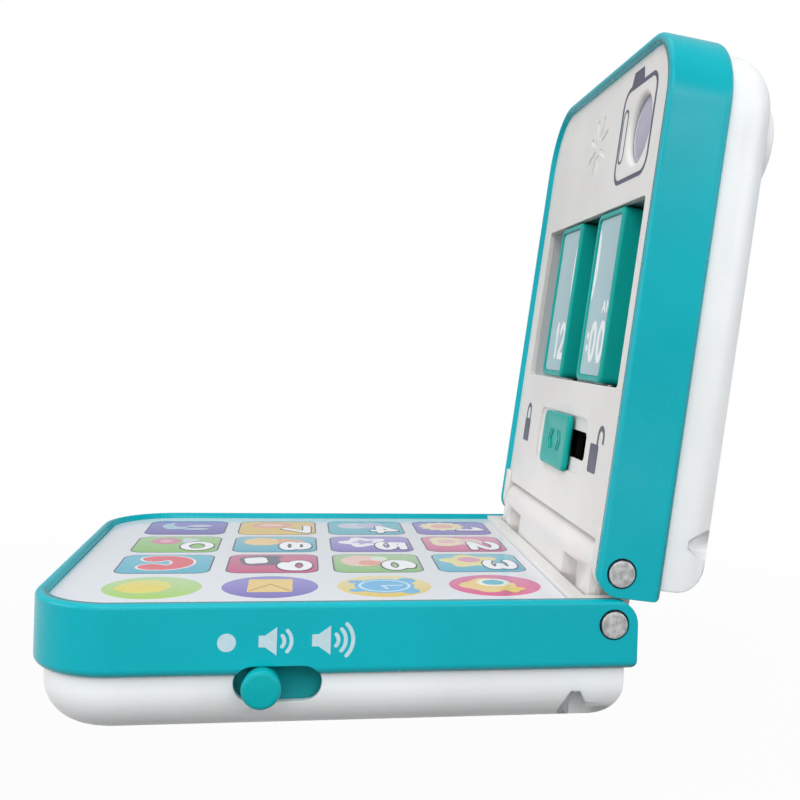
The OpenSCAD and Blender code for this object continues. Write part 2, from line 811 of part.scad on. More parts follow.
module lid_panel() color(PANEL_WHITE) {
    difference() {
        union() {
            half_as_lid() {
                intersection() {
                    half_prism(rim_wall + fit, lid_plate_z, lid_plate_z + plate_t);
                    translate([-side_x, free_y, 0]) cube([body_w, trough_y - free_y, half_h]);
                }
                both_sides() frame_boss(lid_free_screw, lid_plate_z + 1);
                cross_wall(lid_plate_z + 1);
            }
            in_lid() {
                lid_bore(speaker_x, speaker_u, back_y - 0.5) difference() {
                    cylinder(r = speaker_r + 1.4, h = 3.2);
                    translate([0, 0, -1]) cylinder(r = speaker_r + 0.1, h = 6);
                }
                lid_board_posts() translate([0, 0, back_y - 0.5])
                    cylinder(r = 2.6, h = lid_board_y - back_y + 0.5);
            }
        }
        in_lid() {
            lid_slab(front_y - 1, back_y + 1)
                translate([0, window_mid]) rounded_rect(window_w, window_h, 1.5);
            lid_slab(front_y - 1, back_y + 0.2) grille_view();
            lid_slab(front_y - 1, back_y + 1) lock_slot_view();
            lid_slab(front_y - 1, lock_floor) lock_recess_view();
            lid_bore(camera_x, camera_u, front_y) camera_opening();
            lid_board_posts() translate([0, 0, lid_board_y - 3])
                cylinder(r = small_shank_r + thread_play, h = 4);
            tray_lugs() translate([0, 0, -1.2]) cylinder(r = small_shank_r + thread_play, h = 2);
        }
    }
    half_as_lid() ears();
}

module block_tray() color(WHITE) in_lid() {
    depth = tray_floor + tray_wall;
    difference() {
        union() {
            lid_slab(back_y, depth) translate([0, window_mid])
                rounded_rect(window_w + 2 * tray_wall, window_h + 2 * tray_wall, 2.5);
            tray_lugs() cylinder(r = lug_r, h = 2.4);
        }
        lid_slab(back_y - 1, tray_floor) translate([0, window_mid]) rounded_rect(window_w, window_h, 1.5);
        for (s = [-1, 1]) translate([s * block_x, axle_y, window_u - tray_wall - 1])
            cylinder(r = axle_r + 0.01, h = window_h + 2 * tray_wall + 2);
        tray_lugs() translate([0, 0, -1]) cylinder(r = small_shank_r + 0.2, h = 5);
    }
}

module tray_screws() color(STEEL) in_lid()
    tray_lugs() translate([0, 0, 2.4]) mirror([0, 0, 1])
        translate([0, 0, -small_head_t]) screw(small_head_r, small_head_t, small_shank_r, 2.4 + 1);

module block_axles() color(STEEL) in_lid()
    for (s = [-1, 1]) translate([s * block_x, axle_y, window_u - tray_wall + 0.2])
        cylinder(r = axle_r, h = window_h + 2 * tray_wall - 0.4);

module speaker() color(BLACK) in_lid() lid_bore(speaker_x, speaker_u, back_y) {
    difference() {
        cylinder(r = speaker_r, h = 2.6);
        translate([0, 0, -1]) cylinder(r = speaker_r - 1.6, h = 2);
    }
    translate([0, 0, 2.5]) cylinder(r1 = speaker_r - 1, r2 = speaker_r / 2, h = cone_d);
    translate([0, 0, cone_d + 2.4]) cylinder(r = speaker_r / 2, h = 4);
}

module camera_tube() color(WHITE) in_lid() lid_bore(camera_x, camera_u, back_y) difference() {
    cylinder(r = camera_r + tube_wall, h = shell_in_y - back_y - fit);
    translate([0, 0, -1]) cylinder(r = camera_r - 0.8, h = half_h);
    translate([0, 0, -1]) cylinder(r = camera_r + 0.1, h = lens_t + 1);
}

module front_lens() color("#B9B5C6") in_lid()
    lid_bore(camera_x, camera_u, back_y) cylinder(r = camera_r, h = lens_t);

module rear_lens_ring() color(WHITE) in_lid() lid_bore(camera_x, camera_u, shell_in_y) difference() {
    rotate_extrude() {
        square([camera_r, shell_wall + 1]);
        translate([0, shell_wall]) square([ring_r - 2, ring_proud]);
        translate([0, shell_wall]) square([ring_r, ring_proud - 2]);
        translate([ring_r - 2, shell_wall + ring_proud - 2]) circle(2);
    }
    translate([0, 0, -1]) cylinder(r = camera_r - 1.4, h = half_h);
    translate([0, 0, shell_wall + 1.4]) cylinder(r = camera_r + 0.1, h = half_h);
}

module rear_lens() color("#B9B5C6") in_lid()
    lid_bore(camera_x, camera_u, shell_in_y + shell_wall + 1.4) cylinder(r = camera_r, h = lens_t);

module lid_board() color(BOARD_GREEN) in_lid() difference() {
    lid_slab(lid_board_y, lid_board_y + board_t)
        translate([lid_board_x, lid_board_u]) rounded_rect(lid_board_w, lid_board_h, 2);
    lid_board_posts() cylinder(r = small_shank_r + 0.2, h = half_h);
}

module lid_board_screws() color(STEEL) in_lid()
    lid_board_posts() translate([0, 0, lid_board_y + board_t]) mirror([0, 0, 1])
        translate([0, 0, -small_head_t]) screw(small_head_r, small_head_t, small_shank_r, board_t + 2.4);

module lid_screws() color(STEEL) half_as_lid() half_screws(lid_free_screw);

module lock_knob() color(DEEP_TEAL) in_lid() difference() {
    union() {
        lid_slab(-pin_edge, lock_floor - lock_lift) translate([lock_rest_x, lock_u])
            rounded_rect(lock_w, lock_h, 2.6);
        lid_slab(lock_floor - lock_lift - 0.1, carrier_y) translate([lock_rest_x, lock_u])
            rounded_rect(stem_w, lock_slot_h - 0.6, 1.7);
    }
    lid_bore(lock_rest_x, lock_u, carrier_y - 2.4) cylinder(r = 0.92, h = 3);
}

module lock_carrier() color(WHITE) in_lid() difference() {
    lid_slab(carrier_y, carrier_y + carrier_t) translate([lock_rest_x, lock_u])
        rounded_rect(carrier_w, carrier_h, 1.5);
    lid_bore(lock_rest_x, lock_u, carrier_y - 1) cylinder(r = 1.1, h = 4);
    lid_bore(lock_rest_x, lock_u, carrier_y + 0.8) cylinder(r = 2.4, h = 4);
}

module lock_wiper() color("#C8A860") in_lid()
    for (z = [-1, 1]) translate([lock_rest_x - 8, carrier_y + carrier_t, lock_u + z * 4.5 - 1]) {
        cube([16, 0.4, 2]);
        translate([1, 0.2, 0]) cube([3, 0.7, 2]);
    }

module lock_screw() color(STEEL) in_lid() lid_bore(lock_rest_x, lock_u, carrier_y + carrier_t)
    mirror([0, 0, 1]) screw(2.2, 1, 0.9, 3);

module card_view(x, gap) translate([x, window_mid])
    rounded_rect(block_w - 2 * card_side + 2 * gap, block_h - 2 * card_end + 2 * gap, 1.5 + gap);

// A block with a bore for its axle and a sunk card on each face.
module flip_block(x) in_lid() difference() {
    lid_slab(block_front, block_front + block_d) translate([x, window_mid])
        rounded_rect(block_w, block_h, 2.4);
    for (y = [block_front - 1, block_front + block_d - card_t - card_sink])
        lid_slab(y, y + card_t + card_sink + 1) card_view(x, 0.1);
    translate([x, axle_y, window_u - 1]) cylinder(r = axle_r + axle_play, h = window_h + 2);
}

module block_cards(x) in_lid()
    for (y = [block_front + card_sink, block_front + block_d - card_t - card_sink])
        lid_slab(y, y + card_t) card_view(x, 0);

module left_block() color(DEEP_TEAL) flip_block(-block_x);
module right_block() color(DEEP_TEAL) flip_block(block_x);
module left_cards() color(PALE) block_cards(-block_x);
module right_cards() color(PALE) block_cards(block_x);

// ---------------------------------------------------------------- output

base_rim();
base_shell();
base_frame();
keypad_film();
key_membrane();
key_board();
key_board_screws();
main_board();
board_parts();
main_board_screws();
volume_switch();
battery_door();
battery_door_screw();
batteries();
battery_springs();
battery_contacts();
base_screws();
volume_slider();
volume_lever();
hinge_link();
base_pins();
lid_pins();
lid_rim();
lid_shell();
lid_panel();
block_tray();
tray_screws();
block_axles();
speaker();
camera_tube();
front_lens();
rear_lens();
rear_lens_ring();
lid_board();
lid_board_screws();
lid_screws();
lock_knob();
lock_carrier();
lock_wiper();
lock_screw();
left_block();
left_cards();
right_block();
right_cards();
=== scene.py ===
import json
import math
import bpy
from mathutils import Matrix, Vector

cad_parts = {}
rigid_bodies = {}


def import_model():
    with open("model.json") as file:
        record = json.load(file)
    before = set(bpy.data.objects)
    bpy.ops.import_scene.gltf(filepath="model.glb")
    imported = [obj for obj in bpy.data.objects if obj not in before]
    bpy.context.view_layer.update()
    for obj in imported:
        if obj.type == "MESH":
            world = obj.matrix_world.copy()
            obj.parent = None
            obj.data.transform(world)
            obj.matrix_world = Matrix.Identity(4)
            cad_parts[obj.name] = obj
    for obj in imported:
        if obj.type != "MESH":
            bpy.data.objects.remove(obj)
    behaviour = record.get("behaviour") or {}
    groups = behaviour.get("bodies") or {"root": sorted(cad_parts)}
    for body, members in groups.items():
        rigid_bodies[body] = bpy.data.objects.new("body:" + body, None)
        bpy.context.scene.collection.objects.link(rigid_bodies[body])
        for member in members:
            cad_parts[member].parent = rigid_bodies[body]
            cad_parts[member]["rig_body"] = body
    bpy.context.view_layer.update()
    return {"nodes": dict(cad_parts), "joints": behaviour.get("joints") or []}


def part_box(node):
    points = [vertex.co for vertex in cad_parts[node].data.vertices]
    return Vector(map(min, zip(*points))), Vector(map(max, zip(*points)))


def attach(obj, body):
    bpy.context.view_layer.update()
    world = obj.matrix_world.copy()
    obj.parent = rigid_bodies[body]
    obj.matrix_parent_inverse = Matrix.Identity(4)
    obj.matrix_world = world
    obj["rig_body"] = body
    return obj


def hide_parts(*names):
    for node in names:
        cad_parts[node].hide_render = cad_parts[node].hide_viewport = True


bl_info = {
    "name": "Toy Laptop Computer",
    "version": (1, 0, 0),
    "blender": (4, 5, 0),
    "location": "3D View > Sidebar > Toy Laptop",
    "description": "Finishes the moulded, printed and metal pieces of a child's toy laptop computer",
    "category": "Object",
}

import bmesh
import bpy
import numpy as np
from bpy.props import FloatProperty, FloatVectorProperty, PointerProperty
from mathutils import Matrix, Vector

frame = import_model()
JOINTS = {joint["name"]: joint for joint in frame["joints"]}
LID_PIN = np.array(JOINTS["lid_swing"]["pos_m"])
BASE_PIN = np.array(JOINTS["link_tilt"]["pos_m"])
LEAN = -math.radians(JOINTS["link_tilt"]["range_deg"][0])
# an edge sharper than this stays sharp when its piece is smoothed
PIECE_CREASE = math.radians(35)
MOULDING_CREASE = math.radians(32)


# ---------------------------------------------------------------- colour and materials


def linear(hex_code):
    """Turns an sRGB hex colour into linear red, green and blue, with a full alpha."""
    channels = np.array([int(hex_code[i:i + 2], 16) for i in (1, 3, 5)]) / 255.0
    low = channels / 12.92
    high = ((channels + 0.055) / 1.055) ** 2.4
    return (*np.where(channels <= 0.04045, low, high).tolist(), 1.0)


def add(tree, kind, values=None, links=None, to=None, **attributes):
    """Adds a shader node: sets its attributes and values, links its inputs, and links its outputs to sockets.

    A node that is given as the source of a link stands for its own first output."""
    node = tree.nodes.new("ShaderNode" + kind)
    for name, value in attributes.items():
        setattr(node, name, value)
    for socket, value in (values or {}).items():
        node.inputs[socket].default_value = value
    for socket, source in (links or {}).items():
        tree.links.new(getattr(source, "outputs", [source])[0], node.inputs[socket])
    for socket, target in (to or {}).items():
        tree.links.new(node.outputs[socket], target)
    return node


def new_material(name, values=None):
    """Returns a node material, its tree, its shader with the given values, and its object coordinates."""
    material = bpy.data.materials.new(name)
    material.use_nodes = True
    tree = material.node_tree
    tree.nodes.clear()
    shader = add(tree, "BsdfPrincipled", values)
    add(tree, "OutputMaterial", links={"Surface": shader})
    place = add(tree, "TexCoord").outputs["Object"]
    return material, tree, shader, place


def per_mm(size):
    """Texture scale at which one cell is size millimetres across, on coordinates in metres."""
    return 1000.0 / size


def lighter(colour, factor):
    """A linear colour with its brightness multiplied, kept within 0 to 1."""
    return (*(min(1.0, channel * factor) for channel in colour[:3]), 1.0)


def varied(tree, shader, colour, shades, shade_by, rough, rough_by, low=0.3, high=0.7):
    """Lets one pattern move the colour between two shades, and another the roughness between two values."""
    dark, pale = (lighter(colour, shade) for shade in shades)
    add(tree, "Mix", {6: dark, 7: pale}, {0: shade_by}, {2: shader.inputs["Base Color"]}, data_type="RGBA")
    add(tree, "MapRange", {"From Min": low, "From Max": high, "To Min": rough[0], "To Max": rough[1]},
        {"Value": rough_by}, {"Result": shader.inputs["Roughness"]})


def grained(tree, shader, grain, edge_mm, strength, depth_mm):
    """Rounds every sharp edge by a small radius that catches light, and dents the surface by a fine grain."""
    edge = add(tree, "Bevel", {"Radius": edge_mm / 1000}, samples=4)
    add(tree, "Bump", {"Strength": strength, "Distance": depth_mm / 1000}, {"Height": grain, "Normal": edge},
        {"Normal": shader.inputs["Normal"]})


def seen_by(tree, rays):
    """Gives 1 where any of the named kinds of ray arrives, and 0 elsewhere."""
    path = add(tree, "LightPath")
    seen = path.outputs[rays[0]]
    for ray in rays[1:]:
        seen = add(tree, "Math", links={0: seen, 1: path.outputs[ray]}, operation="MAXIMUM")
    return seen


def moulded_plastic(name, colour, roughness, edge_mm, gloss=0.5, depth_mm=0.0):
    """Injection-moulded ABS; a pale one lets light in by a few millimetres, which warms its hollows.

    Flow lines 40 mm apart shift its colour by a few percent, and the tool's fine texture (0.6 mm, coarser
    than real so that it shows) breaks up the gloss."""
    values = {"IOR": 1.53, "Specular IOR Level": gloss}
    if depth_mm:
        values |= {"Subsurface Weight": 0.35, "Subsurface Radius": (1.0, 0.6, 0.45),
                   "Subsurface Scale": depth_mm / 1000}
    material, tree, shader, place = new_material(name, values)
    flow = add(tree, "TexNoise", {"Scale": per_mm(40), "Detail": 3.0}, {"Vector": place})
    spread = add(tree, "MapRange", {"From Min": 0.35, "From Max": 0.65}, {"Value": flow})
    handled = add(tree, "TexNoise", {"Scale": per_mm(11), "Detail": 4.0}, {"Vector": place})
    varied(tree, shader, colour, (0.96, 1.05), spread, (roughness - 0.03, roughness + 0.05), handled)
    grain = add(tree, "TexNoise", {"Scale": per_mm(0.6), "Detail": 1.0}, {"Vector": place})
    grained(tree, shader, grain, edge_mm, 0.1, 0.03)
    return material


def tray_with_painted_shade(name, colour, dark):
    """Moulded ABS tray: pale at both ends, with painted shade darkening the middle 70 mm behind the turning
    blocks.
    """
    material = moulded_plastic(name, colour, 0.4, 0.3)
    tree = material.node_tree
    base = next(node for node in tree.nodes if node.type == "BSDF_PRINCIPLED").inputs["Base Color"]
    place = next(node for node in tree.nodes if node.type == "TEX_COORD").outputs["Object"]
    # painted shade: dark within 35 mm of the middle, fading to the pale colour by 52 mm
    across = add(tree, "SeparateXYZ", links={0: place})
    middle = add(tree, "Math", links={0: across}, operation="ABSOLUTE")
    share = add(tree, "MapRange", {"From Min": 0.035, "From Max": 0.052}, {"Value": middle},
                interpolation_type="SMOOTHSTEP")
    add(tree, "Mix", {6: dark}, {0: share, 7: base.links[0].from_socket}, {2: base}, data_type="RGBA")
    return material


def film_surface(tree, shader, place):
    """Clear PET film: very smooth, with waves 45 mm apart where it drapes over the rubber domes."""
    shader.inputs["IOR"].default_value = 1.57
    smear = add(tree, "TexNoise", {"Scale": per_mm(14), "Detail": 3.0}, {"Vector": place})
    add(tree, "MapRange", {"From Min": 0.3, "From Max": 0.7, "To Min": 0.09, "To Max": 0.16},
        {"Value": smear}, {"Result": shader.inputs["Roughness"]})
    drape = add(tree, "TexNoise", {"Scale": per_mm(45), "Detail": 1.0}, {"Vector": place})
    add(tree, "Bump", {"Strength": 0.25, "Distance": 0.0005}, {"Height": drape},
        {"Normal": shader.inputs["Normal"]})


def printed_film(name, colour):
    """White-backed PET film: a cool white under a hard gloss that mirrors the room."""
    material, tree, shader, place = new_material(name)
    tint = add(tree, "TexNoise", {"Scale": per_mm(70), "Detail": 2.0}, {"Vector": place})
    add(tree, "Mix", {6: lighter(colour, 0.97), 7: lighter(colour, 1.04)}, {0: tint},
        {2: shader.inputs["Base Color"]}, data_type="RGBA")
    film_surface(tree, shader, place)
    return material


def screen_ink(name, under_film):
    """Screen-printed ink: the ink attribute is its colour, with a 1.2 mm mottle where the ink lay thin.

    Under the film it has the film's hard gloss, and on bare plastic it is satin."""
    material, tree, shader, place = new_material(name)
    ink = add(tree, "Attribute", attribute_name="ink")
    mottle = add(tree, "TexNoise", {"Scale": per_mm(1.2), "Detail": 2.0}, {"Vector": place})
    thin = add(tree, "MapRange", {"From Min": 0.25, "From Max": 0.75, "To Min": 0.95, "To Max": 1.05},
               {"Value": mottle})
    add(tree, "VectorMath", None, {0: ink, "Scale": thin}, {"Vector": shader.inputs["Base Color"]},
        operation="SCALE")
    if under_film:
        film_surface(tree, shader, place)
    else:
        worn = add(tree, "TexNoise", {"Scale": per_mm(8), "Detail": 3.0}, {"Vector": place})
        add(tree, "MapRange", {"From Min": 0.3, "From Max": 0.7, "To Min": 0.36, "To Max": 0.48},
            {"Value": worn}, {"Result": shader.inputs["Roughness"]})
    return material


def tumbled_steel(name, colour):
    """Cut and tumbled steel rod: a grey metal whose reflection is dulled by 0.5 mm scuffs."""
    material, tree, shader, place = new_material(name, {"Metallic": 1.0})
    scuff = add(tree, "TexNoise", {"Scale": per_mm(0.5), "Detail": 3.0}, {"Vector": place})
    patch = add(tree, "TexNoise", {"Scale": per_mm(1.6), "Detail": 3.0}, {"Vector": place})
    worn = add(tree, "MapRange", {"From Min": 0.38, "From Max": 0.62}, {"Value": patch})
    varied(tree, shader, colour, (0.8, 1.3), worn, (0.3, 0.55), patch)
    grained(tree, shader, scuff, 0.2, 0.3, 0.05)
    return material


def moulded_acrylic(name, colour):
    """Moulded acrylic lens: polished, with a faint lavender cast and a little light coming through."""
    material, tree, shader, place = new_material(name, {"IOR": 1.49, "Transmission Weight": 0.4})
    cast = add(tree, "TexNoise", {"Scale": per_mm(18), "Detail": 1.0}, {"Vector": place})
    varied(tree, shader, colour, (0.95, 1.08), cast, (0.03, 0.1), cast, 0.0, 1.0)
    return material


def inner_part(name, colour, roughness, cell_mm, metallic=0.0, gloss=0.5):
    """A part inside the toy: its colour and gloss vary over cells of its own real grain."""
    values = {"Metallic": metallic, "Specular IOR Level": gloss}
    material, tree, shader, place = new_material(name, values)
    cells = add(tree, "TexNoise", {"Scale": per_mm(cell_mm), "Detail": 3.0}, {"Vector": place})
    varied(tree, shader, colour, (0.9, 1.12), cells, (roughness - 0.05, roughness + 0.07), cells)
    grained(tree, shader, cells, 0.2, 0.2, 0.04)
    return material


# ---------------------------------------------------------------- shapes


def rounded_outline(width, height, radius, arc=9):
    """Closed outline of a rectangle with round corners.

    Each corner is a quarter circle of arc points: centre plus radius times (cos a, sin a), with a from
    0 to 90 degrees turned by 90 degrees a corner."""
    radius = max(min(radius, width / 2, height / 2), 1e-4)
    quarter = np.linspace(0, np.pi / 2, arc)
    turn = np.repeat(np.arange(4) * np.pi / 2, arc)
    angle = np.tile(quarter, 4) + turn
    centre_x = (width / 2 - radius) * np.repeat([1, -1, -1, 1], arc)
    centre_y = (height / 2 - radius) * np.repeat([1, 1, -1, -1], arc)
    return np.stack([centre_x + radius * np.cos(angle), centre_y + radius * np.sin(angle)], 1)


def blob_outline(width, height, petals=0, wobble=0.0, turn=0.0, count=56):
    """Closed outline r(a) = 1 + wobble cos(petals a + turn), stretched to a width and a height."""
    angle = np.linspace(0, 2 * np.pi, count, endpoint=False)
    radius = 1 + wobble * np.cos(petals * angle + turn)
    return np.stack([width / 2 * radius * np.cos(angle), height / 2 * radius * np.sin(angle)], 1)


def lofted(outlines, heights):
    """Solid through a row of outlines of equal count at given heights, closed by a fan at each end."""
    rings = np.stack([np.column_stack([line, np.full(len(line), z)]) for line, z in zip(outlines, heights)])
    rows, count = rings.shape[:2]
    ends = np.stack([rings[0].mean(0), rings[-1].mean(0)])
    points = np.concatenate([rings.reshape(-1, 3), ends])
    row = np.arange(rows - 1)[:, None] * count
    column = np.arange(count)[None, :]
    following = (column + 1) % count
    quads = np.stack([row + column, row + following, row + count + following, row + count + column], -1)
    last = (rows - 1) * count
    first_fan = np.stack([following[0], column[0], np.full(count, rows * count)], -1)
    last_fan = np.stack([last + column[0], last + following[0], np.full(count, rows * count + 1)], -1)
    return points, quads.reshape(-1, 4).tolist() + first_fan.tolist() + last_fan.tolist()


def slab(outline, thickness, base=0.0):
    """Flat piece of one thickness with the given outline."""
    return lofted([outline, outline], [base, base + thickness])


def revolved(radii, heights, count=72):
    """Surface of revolution about the third axis: the outline is a circle of each radius at each height."""
    angle = np.linspace(0, 2 * np.pi, count, endpoint=False)
    circle = np.stack([np.cos(angle), np.sin(angle)], 1)
    return lofted([circle * radius for radius in radii], heights)


def brushed(paths, width, thickness, base=0.0):
    """Flat piece that covers every point within half a width of its paths, so ends and bends come out round.

    q(p) is the path sample nearest to a point p of a square grid. Squares whose corners lie within reach of
    their samples stay, and their rim points move to q + (p - q) / |p - q| times half the width."""
    reach, cell = width / 2, min(max(width / 5, 0.22), 0.45)
    samples = []
    for path in paths:
        path = np.asarray(path, float)
        along = np.concatenate([[0.0], np.cumsum(np.linalg.norm(np.diff(path, axis=0), axis=1))])
        even = np.linspace(0, along[-1], int(along[-1] * 10 / width) + 2)
        samples.append(np.stack([np.interp(even, along, path[:, k]) for k in (0, 1)], 1))
    samples = np.concatenate(samples)
    low = samples.min(0) - reach - cell
    size = np.ceil((samples.max(0) + reach + cell - low) / cell).astype(int) + 1
    grid = low + cell * np.indices(size).reshape(2, -1).T
    nearest = samples[((grid[:, None] - samples) ** 2).sum(-1).argmin(1)]
    away = np.linalg.norm(grid - nearest, axis=1)
    index = np.arange(len(grid)).reshape(size)
    quads = np.stack([index[:-1, :-1], index[1:, :-1], index[1:, 1:], index[:-1, 1:]], -1).reshape(-1, 4)
    quads = quads[(away[quads] < reach + 0.4 * cell).all(1)]
    edges = np.concatenate([quads[:, [k, (k + 1) % 4]] for k in range(4)])
    _, first, count = np.unique(np.sort(edges, 1), axis=0, return_index=True, return_counts=True)
    rim = edges[first[count == 1]]
    ends = np.unique(rim)
    grid[ends] = nearest[ends] + (grid[ends] - nearest[ends]) * (reach / away[ends])[:, None]
    used, flat = np.unique(quads, return_inverse=True)
    flat = flat.reshape(-1, 4)
    rim = np.searchsorted(used, rim)
    count = len(used)
    points = np.concatenate([np.column_stack([grid[used], np.full(count, z)])
                             for z in (base, base + thickness)])
    walls = np.column_stack([rim, rim[:, ::-1] + count])
    return points, np.concatenate([flat[:, ::-1], flat + count, walls]).tolist()


def bend(x, y, across, up, start, end, count=30):
    """Elliptical arc: centre plus (across cos a, up sin a), with a from start to end in degrees."""
    angle = np.radians(np.linspace(start, end, count))
    return np.stack([x + across * np.cos(angle), y + up * np.sin(angle)], 1)


# each character is a set of brush paths in a box from -1 to 1
GLYPHS = {
    "0": [bend(0, 0, 1, 1, 0, 360, 60)],
    "1": [[(-0.55, 0.55), (0.15, 1), (0.15, -1)]],
    "2": [[*bend(0, 0.4, 1, 0.6, 165, -25), (-1, -1), (1, -1)]],
    "3": [bend(-0.1, 0.5, 1, 0.5, 150, -90), bend(-0.1, -0.5, 1, 0.5, 90, -150)],
    "4": [[(0.45, -1), (0.45, 1), (-1, -0.4), (1, -0.4)]],
    "5": [[(0.9, 1), (-0.75, 1), (-0.85, 0.1), *bend(-0.05, -0.38, 1, 0.62, 115, -150)]],
    "6": [[*bend(0, 0, 1, 1, 55, 180), *bend(0, -0.33, 1, 0.67, 180, 540, 50)]],
    "7": [[(-1, 1), (1, 1), (-0.2, -1)]],
    "8": [bend(0, 0.5, 0.85, 0.5, 0, 360, 50), bend(0, -0.48, 1, 0.52, 0, 360, 50)],
    "9": [[*bend(0, 0, 1, 1, 235, 360), *bend(0, 0.33, 1, 0.67, 0, 360, 50)]],
    ":": [[(0, 0.55), (0, 0.56)], [(0, -0.55), (0, -0.56)]],
    "A": [[(-1, -1), (0, 1), (1, -1)], [(-0.55, -0.35), (0.55, -0.35)]],
    "M": [[(-1, -1), (-1, 1), (0, -0.3), (1, 1), (1, -1)]],
}


def glyph(character, x, y, width, height, weight):
    """Brush paths of a character, fitted to its middle, its width, its height and the weight of its lines."""
    half = np.array([width - weight, height - weight]) / 2
    return [np.asarray(path, float) * half + (x, y) for path in GLYPHS[character]]


def shifted(shape, x, y):
    """A shape moved in its own plane."""
    points, faces = shape
    return points + (x, y, 0), faces


def joined(shapes):
    """Several shapes as one list of points and faces."""
    points, faces, start = [], [], 0
    for part_points, part_faces in shapes:
        points.append(part_points)
        faces += [[index + start for index in face] for face in part_faces]
        start += len(part_points)
    return np.concatenate(points), faces


# ---------------------------------------------------------------- places


def box_mm(node):
    """Low and high corners of a CAD node's box, in millimetres."""
    return (np.array(corner) * 1000 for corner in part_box(node))


def film_place(top):
    """Maps flat (across, along, up) millimetres onto the keypad film, whose top is given."""
    return lambda p: np.stack([p[:, 0], p[:, 1], top + p[:, 2]], 1) / 1000


def side_place(x):
    """Maps (along, up, outward) millimetres onto the base's right side."""
    return lambda p: np.stack([x + p[:, 2], p[:, 0], p[:, 1]], 1) / 1000


def lid_place(front):
    """Maps (across, above the lid pin, forward) millimetres onto a lid's plane, behind its pin by front."""
    def place(p):
        depth = (front - p[:, 2]) / 1000
        up = p[:, 1] / 1000
        y = LID_PIN[1] + depth * math.cos(LEAN) + up * math.sin(LEAN)
        z = LID_PIN[2] - depth * math.sin(LEAN) + up * math.cos(LEAN)
        return np.stack([p[:, 0] / 1000, y, z], 1)
    return place


def pin_place(pin):
    """Maps (a, b, along) millimetres round a hinge pin that runs across the toy."""
    return lambda p: np.stack([p[:, 2] / 1000, pin[1] + p[:, 0] / 1000, pin[2] + p[:, 1] / 1000], 1)


def stand(name, mesh, solid, crease, body, material, replaced):
    """Writes an edited mesh back, smooths it up to an angle and hangs it on its body as an object."""
    solid.to_mesh(mesh)
    solid.free()
    mesh.shade_smooth()
    mesh.set_sharp_from_angle(angle=crease)
    mesh.materials.clear()
    mesh.materials.append(material)
    thing = bpy.data.objects.new(name, mesh)
    bpy.context.scene.collection.objects.link(thing)
    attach(thing, body)
    if replaced:
        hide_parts(*replaced)
    return thing


def piece(name, shape, place, body, material, replaced=(), ink=None):
    """Makes an object from a shape: lays it in place, colours its print and turns its faces outward."""
    flat_points, faces = shape
    mesh = bpy.data.meshes.new(name)
    mesh.from_pydata(place(flat_points).tolist(), [], faces)
    if ink is not None:
        colours = mesh.color_attributes.new("ink", "FLOAT_COLOR", "POINT")
        colours.data.foreach_set("color", ink(flat_points).astype(np.float32).ravel())
    solid = bmesh.new()
    solid.from_mesh(mesh)
    bmesh.ops.recalc_face_normals(solid, faces=solid.faces)
    stand(name, mesh, solid, PIECE_CREASE, body, material, replaced)


def flat_ink(colour):
    """One ink colour all over, from a hex code or a linear colour."""
    value = linear(colour) if isinstance(colour, str) else colour[:]
    return lambda p: np.tile(np.array(value), (len(p), 1))


def graded_ink_and_sheen(far, near, centre, width):
    """Ink that runs from one colour at the far edge to another at the near edge, slowly and then fast; on the
    clock cards the run is a painted sheen.
    """
    a, b = np.array(linear(far)), np.array(linear(near))

    def colour(p):
        t = np.clip((p[:, 0] - centre) / width + 0.5, 0, 1)[:, None] ** 1.4
        return a * (1 - t) + b * t
    return colour


def smoothed_copy(node, material, flat=0.0):
    """Stands a copy of a moulded node in its place: doubles merged, smooth up to an angle, flats kept flat.

    Where flat is given, triangles that lie in one plane within that many degrees become one face first."""
    source = frame["nodes"][node]
    name = node + "_moulding"
    mesh = source.data.copy()
    mesh.name = name
    solid = bmesh.new()
    solid.from_mesh(mesh)
    bmesh.ops.remove_doubles(solid, verts=solid.verts, dist=2e-6)
    bmesh.ops.dissolve_degenerate(solid, edges=solid.edges, dist=1e-7)
    if flat:
        bmesh.ops.dissolve_limit(solid, angle_limit=math.radians(flat), verts=solid.verts, edges=solid.edges)
    thing = stand(name, mesh, solid, MOULDING_CREASE, source["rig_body"], material, (node,))
    thing.modifiers.new("flat faces stay flat", "WEIGHTED_NORMAL").keep_sharp = True


def dress(node, material):
    """Gives a CAD node a material."""
    mesh = frame["nodes"][node].data
    mesh.materials.clear()
    mesh.materials.append(material)


